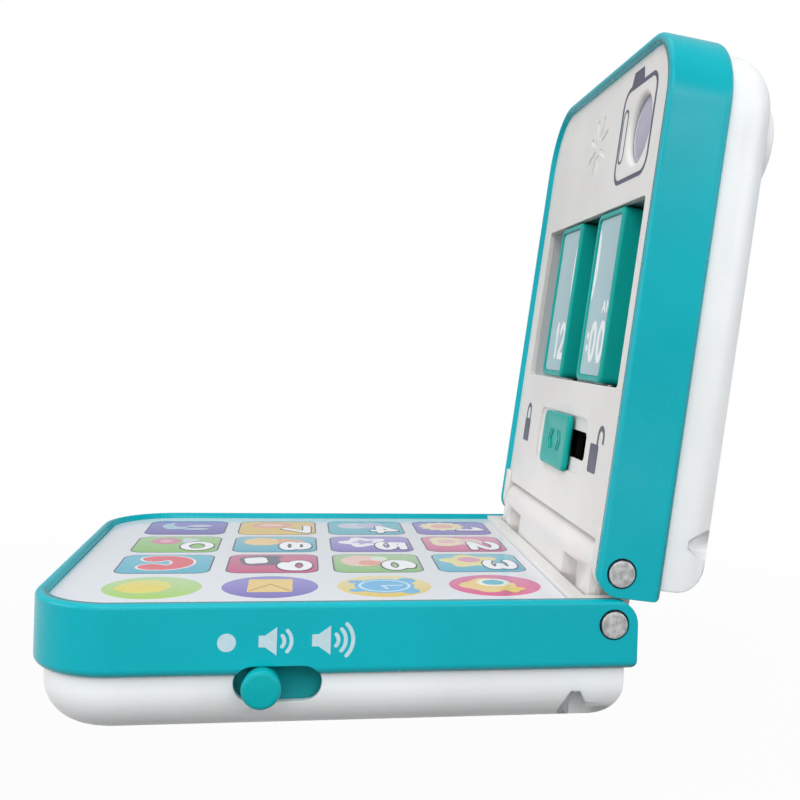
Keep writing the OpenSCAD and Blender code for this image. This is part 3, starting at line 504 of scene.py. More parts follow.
def finishes(settings):
    """The toy's materials by name: the first call makes them, and later ones find them."""
    # moulded_plastic: colour, roughness, edge radius in mm, gloss, depth that light reaches in mm
    # inner_part: colour, roughness, size of a cell in mm, metallic, gloss
    recipes = {
        "teal_abs": (moulded_plastic, settings.teal[:], 0.25, 0.35, 0.19),
        "deep_teal_abs": (moulded_plastic, settings.deep_teal[:], 0.3, 0.4, 0.1),
        "knob_abs": (moulded_plastic, settings.knob[:], 0.28, 0.4, 0.12),
        # plate: the knob's own plastic darkened to 0.7 times, as painted shade for its place deep in the
        # rim's slot
        "plate_abs": (moulded_plastic, lighter(settings.knob[:], 0.7), 0.35, 0.4, 0.1),
        "white_abs": (moulded_plastic, settings.white[:], 0.32, 0.4, 0.5, 2.5),
        # tray: pale plastic, with a dark colour painted as shade over its middle behind the blocks
        "tray_abs": (tray_with_painted_shade, linear("#BCBFC1"), linear("#2B4A4C")),
        "panel_abs": (moulded_plastic, settings.panel[:], 0.42, 0.3, 0.5, 2.5),
        "pet_film": (printed_film, settings.film[:]),
        "film_ink": (screen_ink, True),
        "pad_ink": (screen_ink, False),
        "steel_rod": (tumbled_steel, linear("#A0A0A0")),
        "acrylic_lens": (moulded_acrylic, linear("#C6C1D4")),
        "silicone_rubber": (inner_part, linear("#8E9297"), 0.6, 4.0),
        "circuit_laminate": (inner_part, linear("#2E7D4F"), 0.45, 1.0),
        "carrier_nylon": (inner_part, linear("#070809"), 0.6, 2.0, 0.0, 0.1),
        "black_laminate": (inner_part, linear("#0B0D0E"), 0.5, 1.0, 0.0, 0.15),
        "black_nylon": (inner_part, linear("#222426"), 0.5, 2.0),
        "paper_cone": (inner_part, linear("#C9C7C4"), 0.7, 0.8),
        "speaker_cloth": (inner_part, linear("#E4E2DF"), 0.8, 0.4),
        "cell_sleeve": (inner_part, linear("#3F8E5A"), 0.3, 12.0),
        "plated_steel": (inner_part, linear("#B4B4B2"), 0.3, 1.5, 1.0),
        "spring_brass": (inner_part, linear("#C8A860"), 0.3, 1.5, 1.0),
    }
    return {name: bpy.data.materials.get(name) or recipe(name, *values)
            for name, (recipe, *values) in recipes.items()}


# ---------------------------------------------------------------- settings


def colour_property(name, description, hex_code):
    """A colour that a user may change."""
    return FloatVectorProperty(name=name, description=description, default=linear(hex_code),
                               subtype="COLOR", size=4, min=0.0, max=1.0)


def length_property(name, description, default, low, high):
    """A length in metres that a user may change."""
    return FloatProperty(name=name, description=description, default=default, min=low, max=high,
                         unit="LENGTH", precision=5)


class ToyLaptopSizes(bpy.types.PropertyGroup):
    """Sizes of the added pieces"""

    print_step: length_property("Print step", "Height of one layer of print", 0.00003, 0.00001, 0.0001)
    key_size: length_property("Key size", "Side of a square printed key", 0.0259, 0.018, 0.028)
    round_key_size: length_property("Round key size", "Width of a round printed key", 0.025, 0.018, 0.028)
    key_pitch_x: length_property("Key pitch across", "Distance between columns of keys", 0.0294, 0.026, 0.032)
    key_pitch_y: length_property("Key pitch along", "Distance between rows of keys", 0.03, 0.026, 0.032)
    key_shift_x: length_property("Key shift across", "Middle of the printed keys", -0.0012, -0.004, 0.004)
    key_shift_y: length_property("Key shift along", "Middle of the printed keys", -0.0026, -0.006, 0.004)
    digit_height: length_property("Digit height", "Height of a key's digit", 0.0099, 0.006, 0.014)
    digit_width: length_property("Digit width", "Width of a key's digit", 0.0134, 0.008, 0.016)
    digit_weight: length_property("Digit weight", "Width of a digit's line", 0.0025, 0.001, 0.004)
    volume_knob_height: length_property("Volume knob height", "Height of its middle", 0.013, 0.01, 0.015)
    lock_knob_x: length_property("Lock knob place", "Where the lock knob rests, across", 0.001, -0.01, 0.01)
    lock_knob_u: length_property("Lock knob height", "Its middle above the lid's pin", 0.0273, 0.025, 0.03)


class ToyLaptopColours(bpy.types.PropertyGroup):
    """Colours of the plastics, the film and the print"""

    teal: colour_property("Rim teal", "Plastic of both rims", "#00A7B3")
    deep_teal: colour_property("Slider teal", "Plastic of the lock knob and the turning blocks", "#0A9F96")
    knob: colour_property("Knob teal", "Plastic of the volume knob and its plate", "#08A3A8")
    white: colour_property("Shell white", "Plastic of the shells", "#ECEDEE")
    panel: colour_property("Panel white", "Plastic of the lid's panel, the frame and the link", "#DEDBD8")
    film: colour_property("Film", "Keypad film between the keys", "#DCDFE4")
    dark_ink: colour_property("Dark ink", "Outlines of keys and lid marks", "#47465A")
    pale_ink: colour_property("Pale ink", "Marks on the base's rim", "#B9D2DB")
    digit_ink: colour_property("Digit ink", "White of the digits", "#F4F5F8")


# ---------------------------------------------------------------- operators


class TOYLAPTOP_OT_mouldings(bpy.types.Operator):
    """Smooth the rims, shells, panel, link and tray and give every node of the model its material"""

    bl_idname = "toylaptop.mouldings"
    bl_label = "Mouldings"

    def execute(self, context):
        finish = finishes(context.scene.toy_laptop_colours)
        for node in ("base_rim", "lid_rim"):
            smoothed_copy(node, finish["teal_abs"])
        smoothed_copy("block_tray", finish["tray_abs"])
        for node in ("base_shell", "lid_shell", "rear_lens_ring"):
            smoothed_copy(node, finish["white_abs"], flat=0.02)
        for node in ("lid_panel", "base_frame", "hinge_link"):
            smoothed_copy(node, finish["panel_abs"])
        plain = {
            "pet_film": ["keypad_film"],
            "white_abs": ["battery_door", "camera_tube"],
            "silicone_rubber": ["key_membrane"],
            "circuit_laminate": ["key_board", "main_board"],
            "black_laminate": ["lid_board"],
            "black_nylon": ["board_parts", "volume_switch", "volume_lever"],
            "carrier_nylon": ["lock_carrier"],
            "paper_cone": ["speaker"],
            "cell_sleeve": ["batteries"],
            "plated_steel": ["battery_contacts", "battery_springs", "battery_door_screw", "base_screws",
                             "key_board_screws", "main_board_screws", "lid_screws", "tray_screws",
                             "lid_board_screws", "lock_screw", "block_axles"],
            "spring_brass": ["lock_wiper"],
            "acrylic_lens": ["front_lens", "rear_lens"],
            "steel_rod": ["base_pins", "lid_pins"],
            "deep_teal_abs": ["volume_slider", "lock_knob", "left_block", "right_block"],
            "pad_ink": ["left_cards", "right_cards"],
        }
        for name, nodes in plain.items():
            for node in nodes:
                dress(node, finish[name])
        return {"FINISHED"}


KEYS = (
    # column, row, digit, far colour, near colour, then its motif as ellipses and petalled shapes:
    # (across, along, width, length, colour, petals, wobble)
    (0, 3, "1", "#9089C6", "#6A5DB4", ((-3, -3, 15, 15, "#E9DDB4", 12, 0.1), (-3, -3, 8, 8, "#E3B0A6"))),
    (1, 3, "2", "#D98FAC", "#C8447E", ((-4, -4, 14, 14, "#E9DAB8", 3, 0.14), (-3, 3, 11, 8, "#E4C5C0"),
         (-4, -5, 6, 6, "#E7B6BE"))),
    (2, 3, "3", "#7FBED0", "#2FA9C6", ((-2.5, -2, 16, 16, "#E4DB96", 5, 0.16), (-4, -2, 7, 7, "#DB93B4"))),
    (0, 2, "4", "#6FB9C8", "#3AA7BC", ((-4, -4, 11, 11, "#C6CADB"), (-5, 2, 11, 9, "#B5BBD3"))),
    (1, 2, "5", "#9A94CE", "#6D60B6", ((-3, -2, 14, 14, "#ECECF2", 5, 0.2),
         (-3, -2, 6, 6, "#AAA4D2", 5, 0.3))),
    (2, 2, "6", "#A3C596", "#7DB766", ((-3, -4, 15, 13, "#E8C4BA"), (0, -2, 7, 7, "#E39A8A"),
         (-6, 1, 6, 5, "#DDE4D6"))),
    (0, 1, "7", "#DDBE7E", "#DDBB4E", ((-5, -2, 11, 15, "#DFA38C", 2, 0.12), (-5, -2, 5, 8, "#E6C9B0"))),
    (1, 1, "8", "#7CBBCC", "#2BA3BC", ((-4, -4, 12, 12, "#EBC78C"), (-4, 4, 9, 8, "#E2A878", 3, 0.2))),
    (2, 1, "9", "#C26A8C", "#C02E70", ((-4, -3, 14, 14, "#56586C", 4, 0.08),
         (-4, -5, 9, 7, "#F2F2F4", 4, 0.1), (-5, 4, 6, 5, "#C8667E", 4, 0.1))),
    (0, 0, "", "#7E76C0", "#4A3DA0", ((-3, -4, 12, 9, "#9CC6D4"), (-6, -2, 9, 6, "#7A72BE"),
         (-3, 4, 4, 8, "#B9CBE0"), (3, 3, 3, 9, "#B9CBE0"))),
    (1, 0, "0", "#9CC38A", "#79B84A", ((-5, -4, 10, 9, "#CE7F98"), (-5, -4, 5, 4, "#DDA6B8"),
         (-6, 3, 7, 5, "#C9D2DE", 3, 0.2))),
    (2, 0, "", "#63B6CC", "#2FA7C2", ()),
)
ROUND_KEYS = (
    # row, far colour, near colour, motif
    (0, "#B4D29A", "#9CCB3C", ((-1, -2, 13, 15, "#D9D46C", 2, 0.12), (1, -3, 8, 13, "#E0CF4E"))),
    (1, "#8E86C8", "#6356B2", ()),
    (2, "#E2D7A4", "#DDBE45", ()),
    (3, "#D4709E", "#DA2E78", ((0, -2, 15, 14, "#E9CB7E", 4, 0.12), (-3, 0, 9, 9, "#F1EEDC"),
         (-3, 0, 6, 6, "#4DB1CC"), (5, 4, 7, 6, "#E3C24C", 4, 0.2))),
)


class TOYLAPTOP_OT_keypad(bpy.types.Operator):
    """Print the sixteen keys on the film: outlines, graded grounds, plain motifs and white digits"""

    bl_idname = "toylaptop.keypad"
    bl_label = "Keypad print"

    def execute(self, context):
        sizes, colours = context.scene.toy_laptop, context.scene.toy_laptop_colours
        ink = finishes(colours)["film_ink"]
        place = film_place(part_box("keypad_film")[1][2] * 1000)
        step, size, round_size, weight, digit_width, digit_height = (1000 * value for value in (
            sizes.print_step, sizes.key_size, sizes.round_key_size, sizes.digit_weight, sizes.digit_width,
            sizes.digit_height))
        corner, line_width, grade = 4.2, 0.9, 8.0

        def key_centre(column, row):
            """Middle of a key, in millimetres."""
            return ((sizes.key_shift_x + (column - 1.5) * sizes.key_pitch_x) * 1000,
                    (sizes.key_shift_y + (row - 1.5) * sizes.key_pitch_y) * 1000)

        def lay(name, shapes, colour):
            """Prints shapes on the film as one piece."""
            piece(name, joined(shapes), place, "base", ink, ink=colour)

        def lay_motif(name, motif, x, y, low, turn):
            """Prints a key's motif, each shape half a layer above the last."""
            for i, (a, b, width, length, colour, *petals) in enumerate(motif):
                shape = slab(blob_outline(width, length, *petals, turn=turn), step, (low + 0.5 * i) * step)
                lay(f"{name}_motif_{i}", [shifted(shape, x + a, y + b)], flat_ink(colour))

        for column, row, digit, far, near, motif in KEYS:
            x, y = key_centre(column, row)
            name = f"key_{column}_{row}"
            line = slab(rounded_outline(size, size, corner), step)
            lay(name + "_line", [shifted(line, x, y)], flat_ink(colours.dark_ink))
            sides = [size - line_width - grade * k for k in (0, 0, 1, 2)]
            ground = lofted([rounded_outline(side, side, corner - 0.4) for side in sides],
                            [step, 1.4 * step, 1.4 * step, 1.4 * step])
            lay(name + "_ground", [shifted(ground, x, y)], graded_ink_and_sheen(far, near, x, size))
            lay_motif(name, motif, x, y, 1.5, 0.4 + column)
            if digit:
                paths = glyph(digit, x + 3.4, y + 6.2, digit_width, digit_height, weight)
                lay(name + "_digit_line", [brushed(paths, weight + line_width, step, 3 * step)],
                    flat_ink(colours.dark_ink))
                lay(name + "_digit", [brushed(paths, weight, step, 4 * step)], flat_ink(colours.digit_ink))

        # handset: a thick bow with a white edge
        x, y = key_centre(2, 0)
        bow = bend(x - 1.2, y - 0.6, 6.6, 5.2, -35, 215, 50)
        tips = [bow[:2], bow[-2:]]
        lay("handset_edge", [brushed([bow], 7.2, step, 1.5 * step), brushed(tips, 8.8, step, 1.8 * step)],
            flat_ink("#F0E6E8"))
        lay("handset", [brushed([bow], 5.8, step, 2.1 * step), brushed(tips, 7.4, step, 2.5 * step)],
            flat_ink("#DB5563"))

        for row, far, near, motif in ROUND_KEYS:
            x, y = key_centre(3, row)
            widths = (round_size, round_size, 16, 8)
            ground = lofted([blob_outline(width, width) for width in widths], [0, step, step, step])
            lay(f"round_key_{row}", [shifted(ground, x, y)], graded_ink_and_sheen(far, near, x, round_size))
            lay_motif(f"round_key_{row}", motif, x, y, 1.0, 0.0)

        # letter: an envelope with its flap
        x, y = key_centre(3, 1)
        lay("letter", [shifted(slab(rounded_outline(14.6, 11.6, 0.8), step, step), x - 1.2, y)],
            flat_ink("#E6C679"))
        flap = np.array([[6.0, -5.2], [-1.4, 0.0], [6.0, 5.2]]) + (x - 1.2, y)
        lay("letter_fold", [brushed([flap], 0.6, step, 1.5 * step)], flat_ink("#B58C4E"))

        # clock: a dial with two bells, feet and hands
        x, y = key_centre(3, 2)
        bells = [shifted(slab(blob_outline(6, 5), step, step), x + a, y + 6.4) for a in (-6, 6)]
        feet = [shifted(slab(rounded_outline(3, 4, 1), step, step), x + a, y - 7.4) for a in (-5, 5)]
        dial = shifted(slab(blob_outline(16, 16), step, 1.2 * step), x, y)
        lay("clock", bells + feet + [dial], flat_ink("#5FB0DE"))
        ring = bend(x, y, 6.6, 6.6, 0, 360, 60)
        hands = [(x + 3.4, y + 0.6), (x, y - 0.6), (x - 0.4, y + 4.6)]
        lay("clock_marks", [brushed([ring, hands], 0.8, step, 1.7 * step)], flat_ink("#C5E2F0"))
        return {"FINISHED"}


class TOYLAPTOP_OT_marks(bpy.types.Operator):
    """Pad-print the volume marks on the rim, and the padlocks and camera outline on the lid's panel"""

    bl_idname = "toylaptop.marks"
    bl_label = "Marks"

    def execute(self, context):
        colours = context.scene.toy_laptop_colours
        ink = finishes(colours)["pad_ink"]
        step = context.scene.toy_laptop.print_step * 1000
        side = side_place(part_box("base_rim")[1][0] * 1000)

        def speaker(x, z, size, waves):
            """A loudspeaker's outline with sound waves in front of it."""
            body = np.array([[-3, -1.4], [-1.5, -1.4], [1.3, -3.4], [1.3, 3.4], [-1.5, 1.4], [-3, 1.4]])
            shapes = [shifted(slab(body * size, step), x, z)]
            for i in range(waves):
                radius = (1.9 + 1.7 * i) * size
                shapes.append(brushed([bend(x + 1.2 * size, z, radius, radius, -44, 44)], 0.9 * size, step))
            return shapes

        dot = shifted(slab(blob_outline(4.4, 4.4), step), -26.9, 23.2)
        quiet = speaker(-16.4, 23.4, 1.0, 2)
        loud = speaker(-3.6, 23.5, 1.04, 3)
        piece("volume_marks", joined([dot] + quiet + loud), side, "base", ink,
              ink=flat_ink(colours.pale_ink))

        panel = lid_place(-4.7)

        def padlock(x, u, swing):
            """A padlock whose bow swings out to the side when it is open."""
            body = shifted(slab(rounded_outline(8.4, 8.0, 0.8), step), x, u)
            top = u + 3.6
            left, right = x - 2.6 + swing, x + 2.6 + swing
            bow = bend((left + right) / 2, top + 2.6, 2.6, 2.6, 0, 180, 28)
            foot = [(right, top + (1.6 if swing else 0)), *bow, (left, top - 0.4)]
            return [body, brushed([foot], 1.5, step, 0.3 * step)]

        # padlocks, and a camera's outline round the lens with its tab and pill
        marks = padlock(-46.6, 26.6, 0) + padlock(42.3, 26.0, 5.2)
        outline = rounded_outline(30.4, 27.8, 5.0, 14) + (36.0, 119.4)
        tab = np.array([[-6.2, 0], [6.2, 0], [4.4, 4.4], [-4.4, 4.4]]) + (32.0, 133.4)
        pill = rounded_outline(4.4, 15.6, 2.2, 12) + (24.6, 119.4)
        rings = [[*line, line[0]] for line in (outline, pill)]
        marks += [brushed(rings[:1], 1.4, step), slab(tab, step, 0.5 * step), brushed(rings[1:], 0.8, step)]
        piece("lid_marks", joined(marks), panel, "lid", ink, ink=flat_ink(colours.dark_ink))
        return {"FINISHED"}


class TOYLAPTOP_OT_sliders(bpy.types.Operator):
    """Shape the volume knob with its curved plate, and the lock knob with its raised arrows"""

    bl_idname = "toylaptop.sliders"
    bl_label = "Sliders"

    def execute(self, context):
        sizes = context.scene.toy_laptop
        finish = finishes(context.scene.toy_laptop_colours)
        teal = finish["deep_teal_abs"]
        low, high = box_mm("volume_slider")
        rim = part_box("base_rim")[1][0] * 1000

        # plate: its face dips as a shallow trough along the travel
        thickness, dip = 1.7, 0.7
        z = np.linspace(low[2], high[2], 24)
        across = (z - (low[2] + high[2]) / 2) / ((high[2] - low[2]) / 2)
        outer = low[0] + thickness - dip * (1 - across ** 2)
        section = np.column_stack([np.append(outer, np.full_like(outer, low[0])), np.append(z, z[::-1])])
        y = np.linspace(low[1], high[1], 60)
        # the plate's plastic is the knob's, with painted shade
        piece("volume_plate", lofted([section] * len(y), y), lambda p: p[:, [0, 2, 1]] / 1000, "volume",
              finish["plate_abs"], replaced=("volume_slider",))

        # cap and stem: a turned shape whose top falls away as a shallow dome and rounds over at its edge
        flat_radius, edge_radius, gap, crown = 3.55, 1.2, 0.4, 0.15
        top = high[0] - rim
        edge = np.linspace(0, np.pi / 2, 9)
        dome = np.linspace(0.05, 0.78, 8)
        radii = np.concatenate([[4.0, 4.0, 4.4], flat_radius + edge_radius * np.cos(edge),
                                flat_radius * (1 - dome)])
        heights = np.concatenate([[low[0] + 1.0 - rim, gap, gap],
                                  top - crown - edge_radius + edge_radius * np.sin(edge),
                                  top - crown + crown * dome / dome[-1]])
        knob = shifted(revolved(radii, heights), (low[1] + high[1]) / 2, sizes.volume_knob_height * 1000)
        piece("volume_knob", knob, side_place(rim), "volume", finish["knob_abs"],
              replaced=("volume_slider",))

        # lock knob: a rounded pad, slightly hollow in the middle, on a foot and a stem
        place = lid_place(-4.2)
        width, height, tall, clear = 31.6, 17.0, 2.2, 0.6
        corner, soft, hollow = 2.6, 0.9, 0.44
        stem, foot = (14, 7.8, 1.7), (29, 14.6, 2.4)
        rings = [(*stem, -1.8), (*stem, 0.0), (*foot, 0.0), (*foot, clear),
                 (width - 0.4, height - 0.4, corner - 0.2, clear), (width, height, corner, clear + 0.2)]
        for a in np.linspace(0, np.pi / 2, 7):
            inset = soft * (1 - math.cos(a))
            rings.append((width - 2 * inset, height - 2 * inset, corner - 0.8 * inset,
                          tall - soft + soft * math.sin(a)))
        for t in (0.12, 0.25, 0.4, 0.6, 0.8, 1.0):
            rings.append(((width - 2 * soft) * (1 - 0.9 * t), (height - 2 * soft) * (1 - 0.9 * t), 1.6,
                          tall - hollow * (1 - math.cos(math.pi * t)) / 2))
        pad = lofted([rounded_outline(*ring[:3]) for ring in rings], [ring[3] for ring in rings])
        middle = sizes.lock_knob_x * 1000, sizes.lock_knob_u * 1000
        piece("lock_pad", shifted(pad, *middle), place, "lock", teal, replaced=("lock_knob",))
        arrow = np.array([[3.0, 2.6], [5.2, 0.0], [3.0, -2.6]])
        tips = [(arrow + (out, 0)) * (side, 1) + middle for side in (-1, 1) for out in (0, 2.4)]
        arrows = joined([brushed([tip], 1.0, 0.45, tall - 0.5) for tip in tips])
        piece("lock_arrows", arrows, place, "lock", teal)
        return {"FINISHED"}


class TOYLAPTOP_OT_blocks(bpy.types.Operator):
    """Shape the two turning blocks with soft edges and sunk cards, and print the clock digits"""

    bl_idname = "toylaptop.blocks"
    bl_label = "Turning blocks"

    def execute(self, context):
        finish = finishes(context.scene.toy_laptop_colours)
        teal, ink = finish["deep_teal_abs"], finish["pad_ink"]
        step = context.scene.toy_laptop.print_step * 1000
        front, depth, middle = -4.6, 16.0, 72.25
        width, height, edge, sunk = 27.2, 50.9, 0.9, 0.62

        # block: from the card's sunk bed over the soft edge, and the same backwards for the other face
        half = [(width - 4.3, height - 3.7, 1.6, 0.85), (width - 4.1, height - 3.5, 1.7, 0.2),
                (width - 3.7, height - 3.1, 1.9, 0.0)]
        for a in np.linspace(0, np.pi / 2, 6):
            inset = 2 * edge * (1 - math.sin(a))
            half.append((width - inset, height - inset, 2.4, edge * (1 - math.cos(a))))
        sections = half + [(w, h, r, depth - d) for w, h, r, d in reversed(half)]
        block = lofted([rounded_outline(w, h, r) for w, h, r, _ in sections], [-d for *_, d in sections])
        card_sizes = [(width - 4.5 - 5 * k, height - 3.9 - 10 * k) for k in (0, 0, 1, 2, 3)]
        card = lofted([rounded_outline(w, h, 1.5) for w, h in card_sizes], [-0.2, 0, 0, 0, 0])
        clock = lid_place(front + sunk)
        for side, x, back_colour in (("left", -23.3, "#D8A6B8"), ("right", 23.3, "#E7D9A2")):
            body, cards = side + "_flip", (side + "_cards",)
            piece(side + "_flip_block", shifted(block, x, middle), lid_place(front), body, teal,
                  replaced=(side + "_block",))
            # front card: pale print, with a painted sheen making it paler toward the far edge
            piece(side + "_card_front", shifted(card, x, middle), clock, body, ink, replaced=cards,
                  ink=graded_ink_and_sheen("#A9C4CA", "#9DB7BF", x, width))
            points, faces = shifted(card, -x, middle)
            piece(side + "_card_back", (points * (-1, 1, -1), faces), lid_place(front + depth - sunk), body,
                  ink, replaced=cards, ink=flat_ink(back_colour))

        # clock: hour on one face, minutes and half of the day on the other
        line, tall, fine, pale = 2.3, 12.6, 0.8, flat_ink("#E6EBEB")
        hour = glyph("1", -24.4, 58.8, 4.6, tall, line) + glyph("2", -17.4, 58.8, 7.4, tall, line)
        piece("hour_digits", brushed(hour, line, step), clock, "left_flip", ink, ink=pale)
        minute = glyph(":", 15.6, 58.6, line, 9.0, line)
        for x in (21.2, 29.8):
            minute += glyph("0", x, 58.6, 7.2, tall, line)
        half_day = glyph("A", 28.4, 69, 3.6, 3.8, fine) + glyph("M", 33.0, 69, 3.8, 3.8, fine)
        piece("minute_digits", joined([brushed(minute, line, step), brushed(half_day, fine, step)]), clock,
              "right_flip", ink, ink=pale)

        # one pale moon shared by the two faces
        for side, x, cut in (("left", -12.4, 1), ("right", 12.4, -1)):
            outline = blob_outline(6, 22)
            outline[:, 0] = np.where(outline[:, 0] * cut > 0, 0, outline[:, 0])
            piece(side + "_moon", shifted(slab(outline, step), x, 82), clock, side + "_flip", ink,
                  ink=flat_ink("#EEF3F5"))
        return {"FINISHED"}


class TOYLAPTOP_OT_metal_and_lenses(bpy.types.Operator):
    """Turn the hinge pins with rounded ends, lay the grille's cloth and dome the front lens"""

    bl_idname = "toylaptop.metal_and_lenses"
    bl_label = "Pins and lenses"

    def execute(self, context):
        finish = finishes(context.scene.toy_laptop_colours)
        turn = np.linspace(0, np.pi / 2, 6)
        inner, chamfer, crown = 50.5, 0.45, 0.05
        for node, pin in (("base_pins", BASE_PIN), ("lid_pins", LID_PIN)):
            low, high = box_mm(node)
            radius, end = (high[2] - low[2]) / 2, high[0]
            flat = radius - chamfer
            radii = np.concatenate([[radius - 0.3, radius, radius], flat + chamfer * np.cos(turn),
                                    flat * np.array([0.7, 0.4, 0.1])])
            heights = np.concatenate([[inner, inner + 0.3, end - 0.6],
                                      end - crown - chamfer * (1 - np.sin(turn)),
                                      end - crown + crown * np.array([0.6, 0.9, 1.0])])
            points, faces = revolved(radii, heights)
            pins = joined([(points, faces), (points * (1, 1, -1), faces)])
            piece(node + "_turned", pins, pin_place(pin), "link", finish["steel_rod"],
                  replaced=(node,))

        # cloth behind the grille's slots: a thin disc
        disc = revolved([12.2, 12.2, 12.0, 8.0, 4.0, 0.4], [-0.3, -0.05, 0, 0, 0, 0])
        piece("grille_cloth", shifted(disc, -4.0, 121.0), lid_place(-4.3), "lid", finish["speaker_cloth"])

        # lens: a spherical cap on a short rim
        radius, dome = 10.2, 1.7
        out = 1 - np.linspace(0, 0.95, 12)
        lens = revolved(np.append([radius, radius], radius * out),
                        np.append([-1.2, -0.1], dome * (1 - out ** 2) - 0.05))
        piece("front_lens_domed", shifted(lens, 39.3, 119.2), lid_place(-2.7), "lid",
              finish["acrylic_lens"], replaced=("front_lens",))
        return {"FINISHED"}


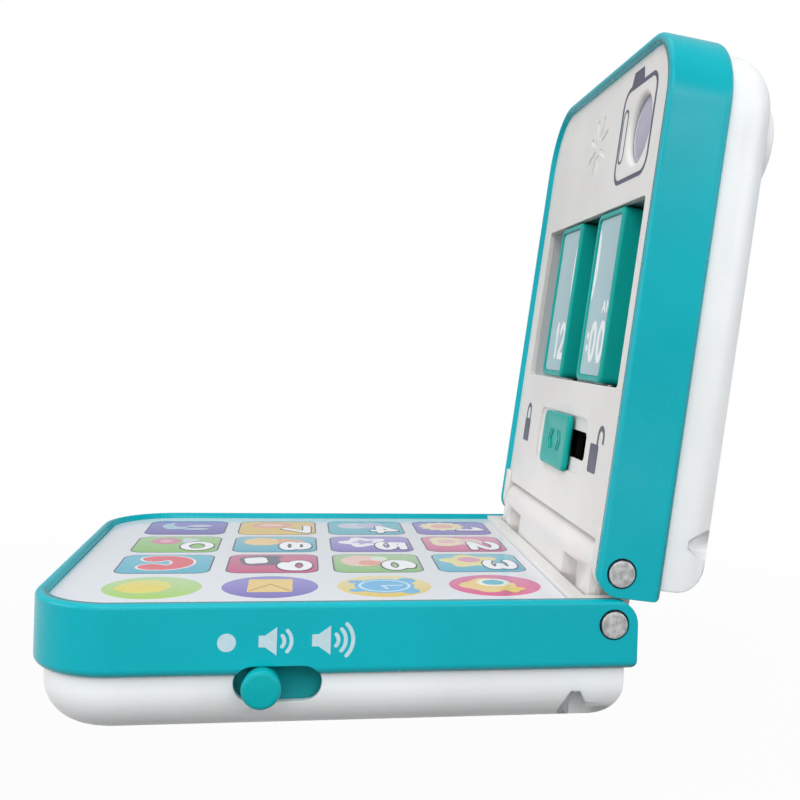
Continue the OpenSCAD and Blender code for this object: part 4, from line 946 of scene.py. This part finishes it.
class TOYLAPTOP_OT_stage(bpy.types.Operator):
    """Set the pale floor, the soft lights and the camera"""

    bl_idname = "toylaptop.stage"
    bl_label = "Stage"

    def execute(self, context):
        scene = context.scene
        scene.view_settings.view_transform = "Standard"

        # camera at the side, a hand's height above the table
        eye = Vector((332.209, -11.282, 96.969)) * 0.001
        turn = Matrix.Rotation(0.03, 3, "Z") @ Matrix.Rotation(-0.163, 3, "Y")
        turn = turn @ Matrix.Rotation(-0.001, 3, "X")
        right, down, ahead = turn @ Matrix(((0, 1, 0), (0, 0, -1), (-1, 0, 0)))
        camera = bpy.data.objects.new("camera", bpy.data.cameras.new("camera"))
        camera.matrix_world = Matrix.Translation(eye) @ Matrix((right, -down, -ahead)).transposed().to_4x4()
        focal_pixels, picture_pixels = 1082.07, 800
        camera.data.sensor_width = 36.0
        camera.data.lens = focal_pixels / picture_pixels * 36
        # the lens's axis lies off the picture's middle
        camera.data.shift_x = -0.1
        camera.data.shift_y = -0.075
        camera.data.clip_start = 0.01
        scene.collection.objects.link(camera)
        scene.camera = camera

        # floor: a fan and rings in one plane, which throw less light up than a plain disc would;
        # where it is looked at, it is shadowed near the toy and plain white far off
        rings, count, drop = 24, 96, 0.0002
        points, faces = revolved(np.linspace(4.0, 0.02, rings), np.full(rings, -drop), count)
        mesh = bpy.data.meshes.new("floor")
        mesh.from_pydata(points.tolist(), [], faces[:-count])
        floor = bpy.data.objects.new("floor", mesh)
        scene.collection.objects.link(floor)
        values = {"Base Color": (0.92, 0.92, 0.92, 1), "Roughness": 0.9}
        material, tree, shader, place = new_material("floor_paper", values)
        glow = add(tree, "Emission", {"Color": (1, 1, 1, 1), "Strength": 1.0})
        away = add(tree, "VectorMath", links={0: place}, operation="LENGTH").outputs["Value"]
        fade = add(tree, "MapRange", {"From Min": 0.1, "From Max": 0.3, "To Min": 0.97}, {"Value": away})
        seen = seen_by(tree, ("Is Camera Ray", "Is Glossy Ray", "Is Transmission Ray"))
        share = add(tree, "Math", links={0: seen, 1: fade}, operation="MULTIPLY")
        output = next(node for node in tree.nodes if node.type == "OUTPUT_MATERIAL")
        add(tree, "MixShader", links={0: share, 1: shader, 2: glow}, to={0: output.inputs["Surface"]})
        mesh.materials.append(material)

        # world: soft white room, plain white where it is looked at
        world = bpy.data.worlds.new("room")
        scene.world = world
        world.use_nodes = True
        tree = world.node_tree
        tree.nodes.clear()
        room = add(tree, "Background", {"Color": linear("#F4F7FA"), "Strength": 0.62})
        white = add(tree, "Background", {"Color": (1, 1, 1, 1), "Strength": 1.0})
        seen = seen_by(tree, ("Is Camera Ray", "Is Transmission Ray"))
        mix = add(tree, "MixShader", links={0: seen, 1: room, 2: white})
        add(tree, "OutputWorld", links={"Surface": mix})

        def lamp(name, place, target, size, power):
            """Hangs a rectangular lamp of a power in watts, turned to its target."""
            light = bpy.data.lights.new(name, "AREA")
            light.shape = "RECTANGLE"
            light.size, light.size_y = size
            light.energy = power
            holder = bpy.data.objects.new(name, light)
            holder.location = place
            holder.rotation_euler = (Vector(target) - Vector(place)).to_track_quat("-Z", "Y").to_euler()
            scene.collection.objects.link(holder)

        lamp("key light", (0.75, -0.35, 0.75), (0, 0.02, 0.07), (0.6, 0.6), 4.2)
        lamp("side fill", (0.98, 0.34, 0.46), (0.06, 0.06, 0.12), (0.5, 0.26), 2.1)
        lamp("low fill", (0.85, -0.4, 0.1), (0.05, -0.02, 0.01), (0.6, 0.16), 0.5)
        lamp("table bounce", (0.36, -0.05, 0.025), (0.06, -0.02, 0.012), (0.5, 0.04), 0.12)
        lamp("front fill", (0.2, -1.1, 0.4), (0, 0, 0.06), (0.9, 0.6), 4.9)
        lamp("back fill", (0.5, 1.0, 0.35), (0, 0.05, 0.08), (0.7, 0.6), 3.0)
        lamp("top light", (-0.1, -0.2, 1.1), (0, 0, 0.1), (0.9, 0.9), 2.2)
        return {"FINISHED"}


class TOYLAPTOP_PT_panel(bpy.types.Panel):
    """Lists the toy's operators and sizes"""

    bl_label = "Toy Laptop"
    bl_idname = "TOYLAPTOP_PT_panel"
    bl_space_type = "VIEW_3D"
    bl_region_type = "UI"
    bl_category = "Toy Laptop"

    def draw(self, context):
        layout = self.layout
        for operator in OPERATORS:
            layout.operator(operator.bl_idname)
        for group, settings in ((ToyLaptopSizes, "toy_laptop"), (ToyLaptopColours, "toy_laptop_colours")):
            for name in group.__annotations__:
                layout.prop(getattr(context.scene, settings), name)


OPERATORS = (
    TOYLAPTOP_OT_mouldings,
    TOYLAPTOP_OT_keypad,
    TOYLAPTOP_OT_marks,
    TOYLAPTOP_OT_sliders,
    TOYLAPTOP_OT_blocks,
    TOYLAPTOP_OT_metal_and_lenses,
    TOYLAPTOP_OT_stage,
)
CLASSES = (ToyLaptopSizes, ToyLaptopColours, *OPERATORS, TOYLAPTOP_PT_panel)


def register():
    for cls in CLASSES:
        bpy.utils.register_class(cls)
    bpy.types.Scene.toy_laptop = PointerProperty(type=ToyLaptopSizes)
    bpy.types.Scene.toy_laptop_colours = PointerProperty(type=ToyLaptopColours)


def unregister():
    del bpy.types.Scene.toy_laptop, bpy.types.Scene.toy_laptop_colours
    for cls in reversed(CLASSES):
        bpy.utils.unregister_class(cls)


def main():
    """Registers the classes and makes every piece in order."""
    register()
    bpy.ops.toylaptop.stage()
    bpy.ops.toylaptop.mouldings()
    bpy.ops.toylaptop.keypad()
    bpy.ops.toylaptop.marks()
    bpy.ops.toylaptop.sliders()
    bpy.ops.toylaptop.blocks()
    bpy.ops.toylaptop.metal_and_lenses()


if __name__ == "__main__":
    main()
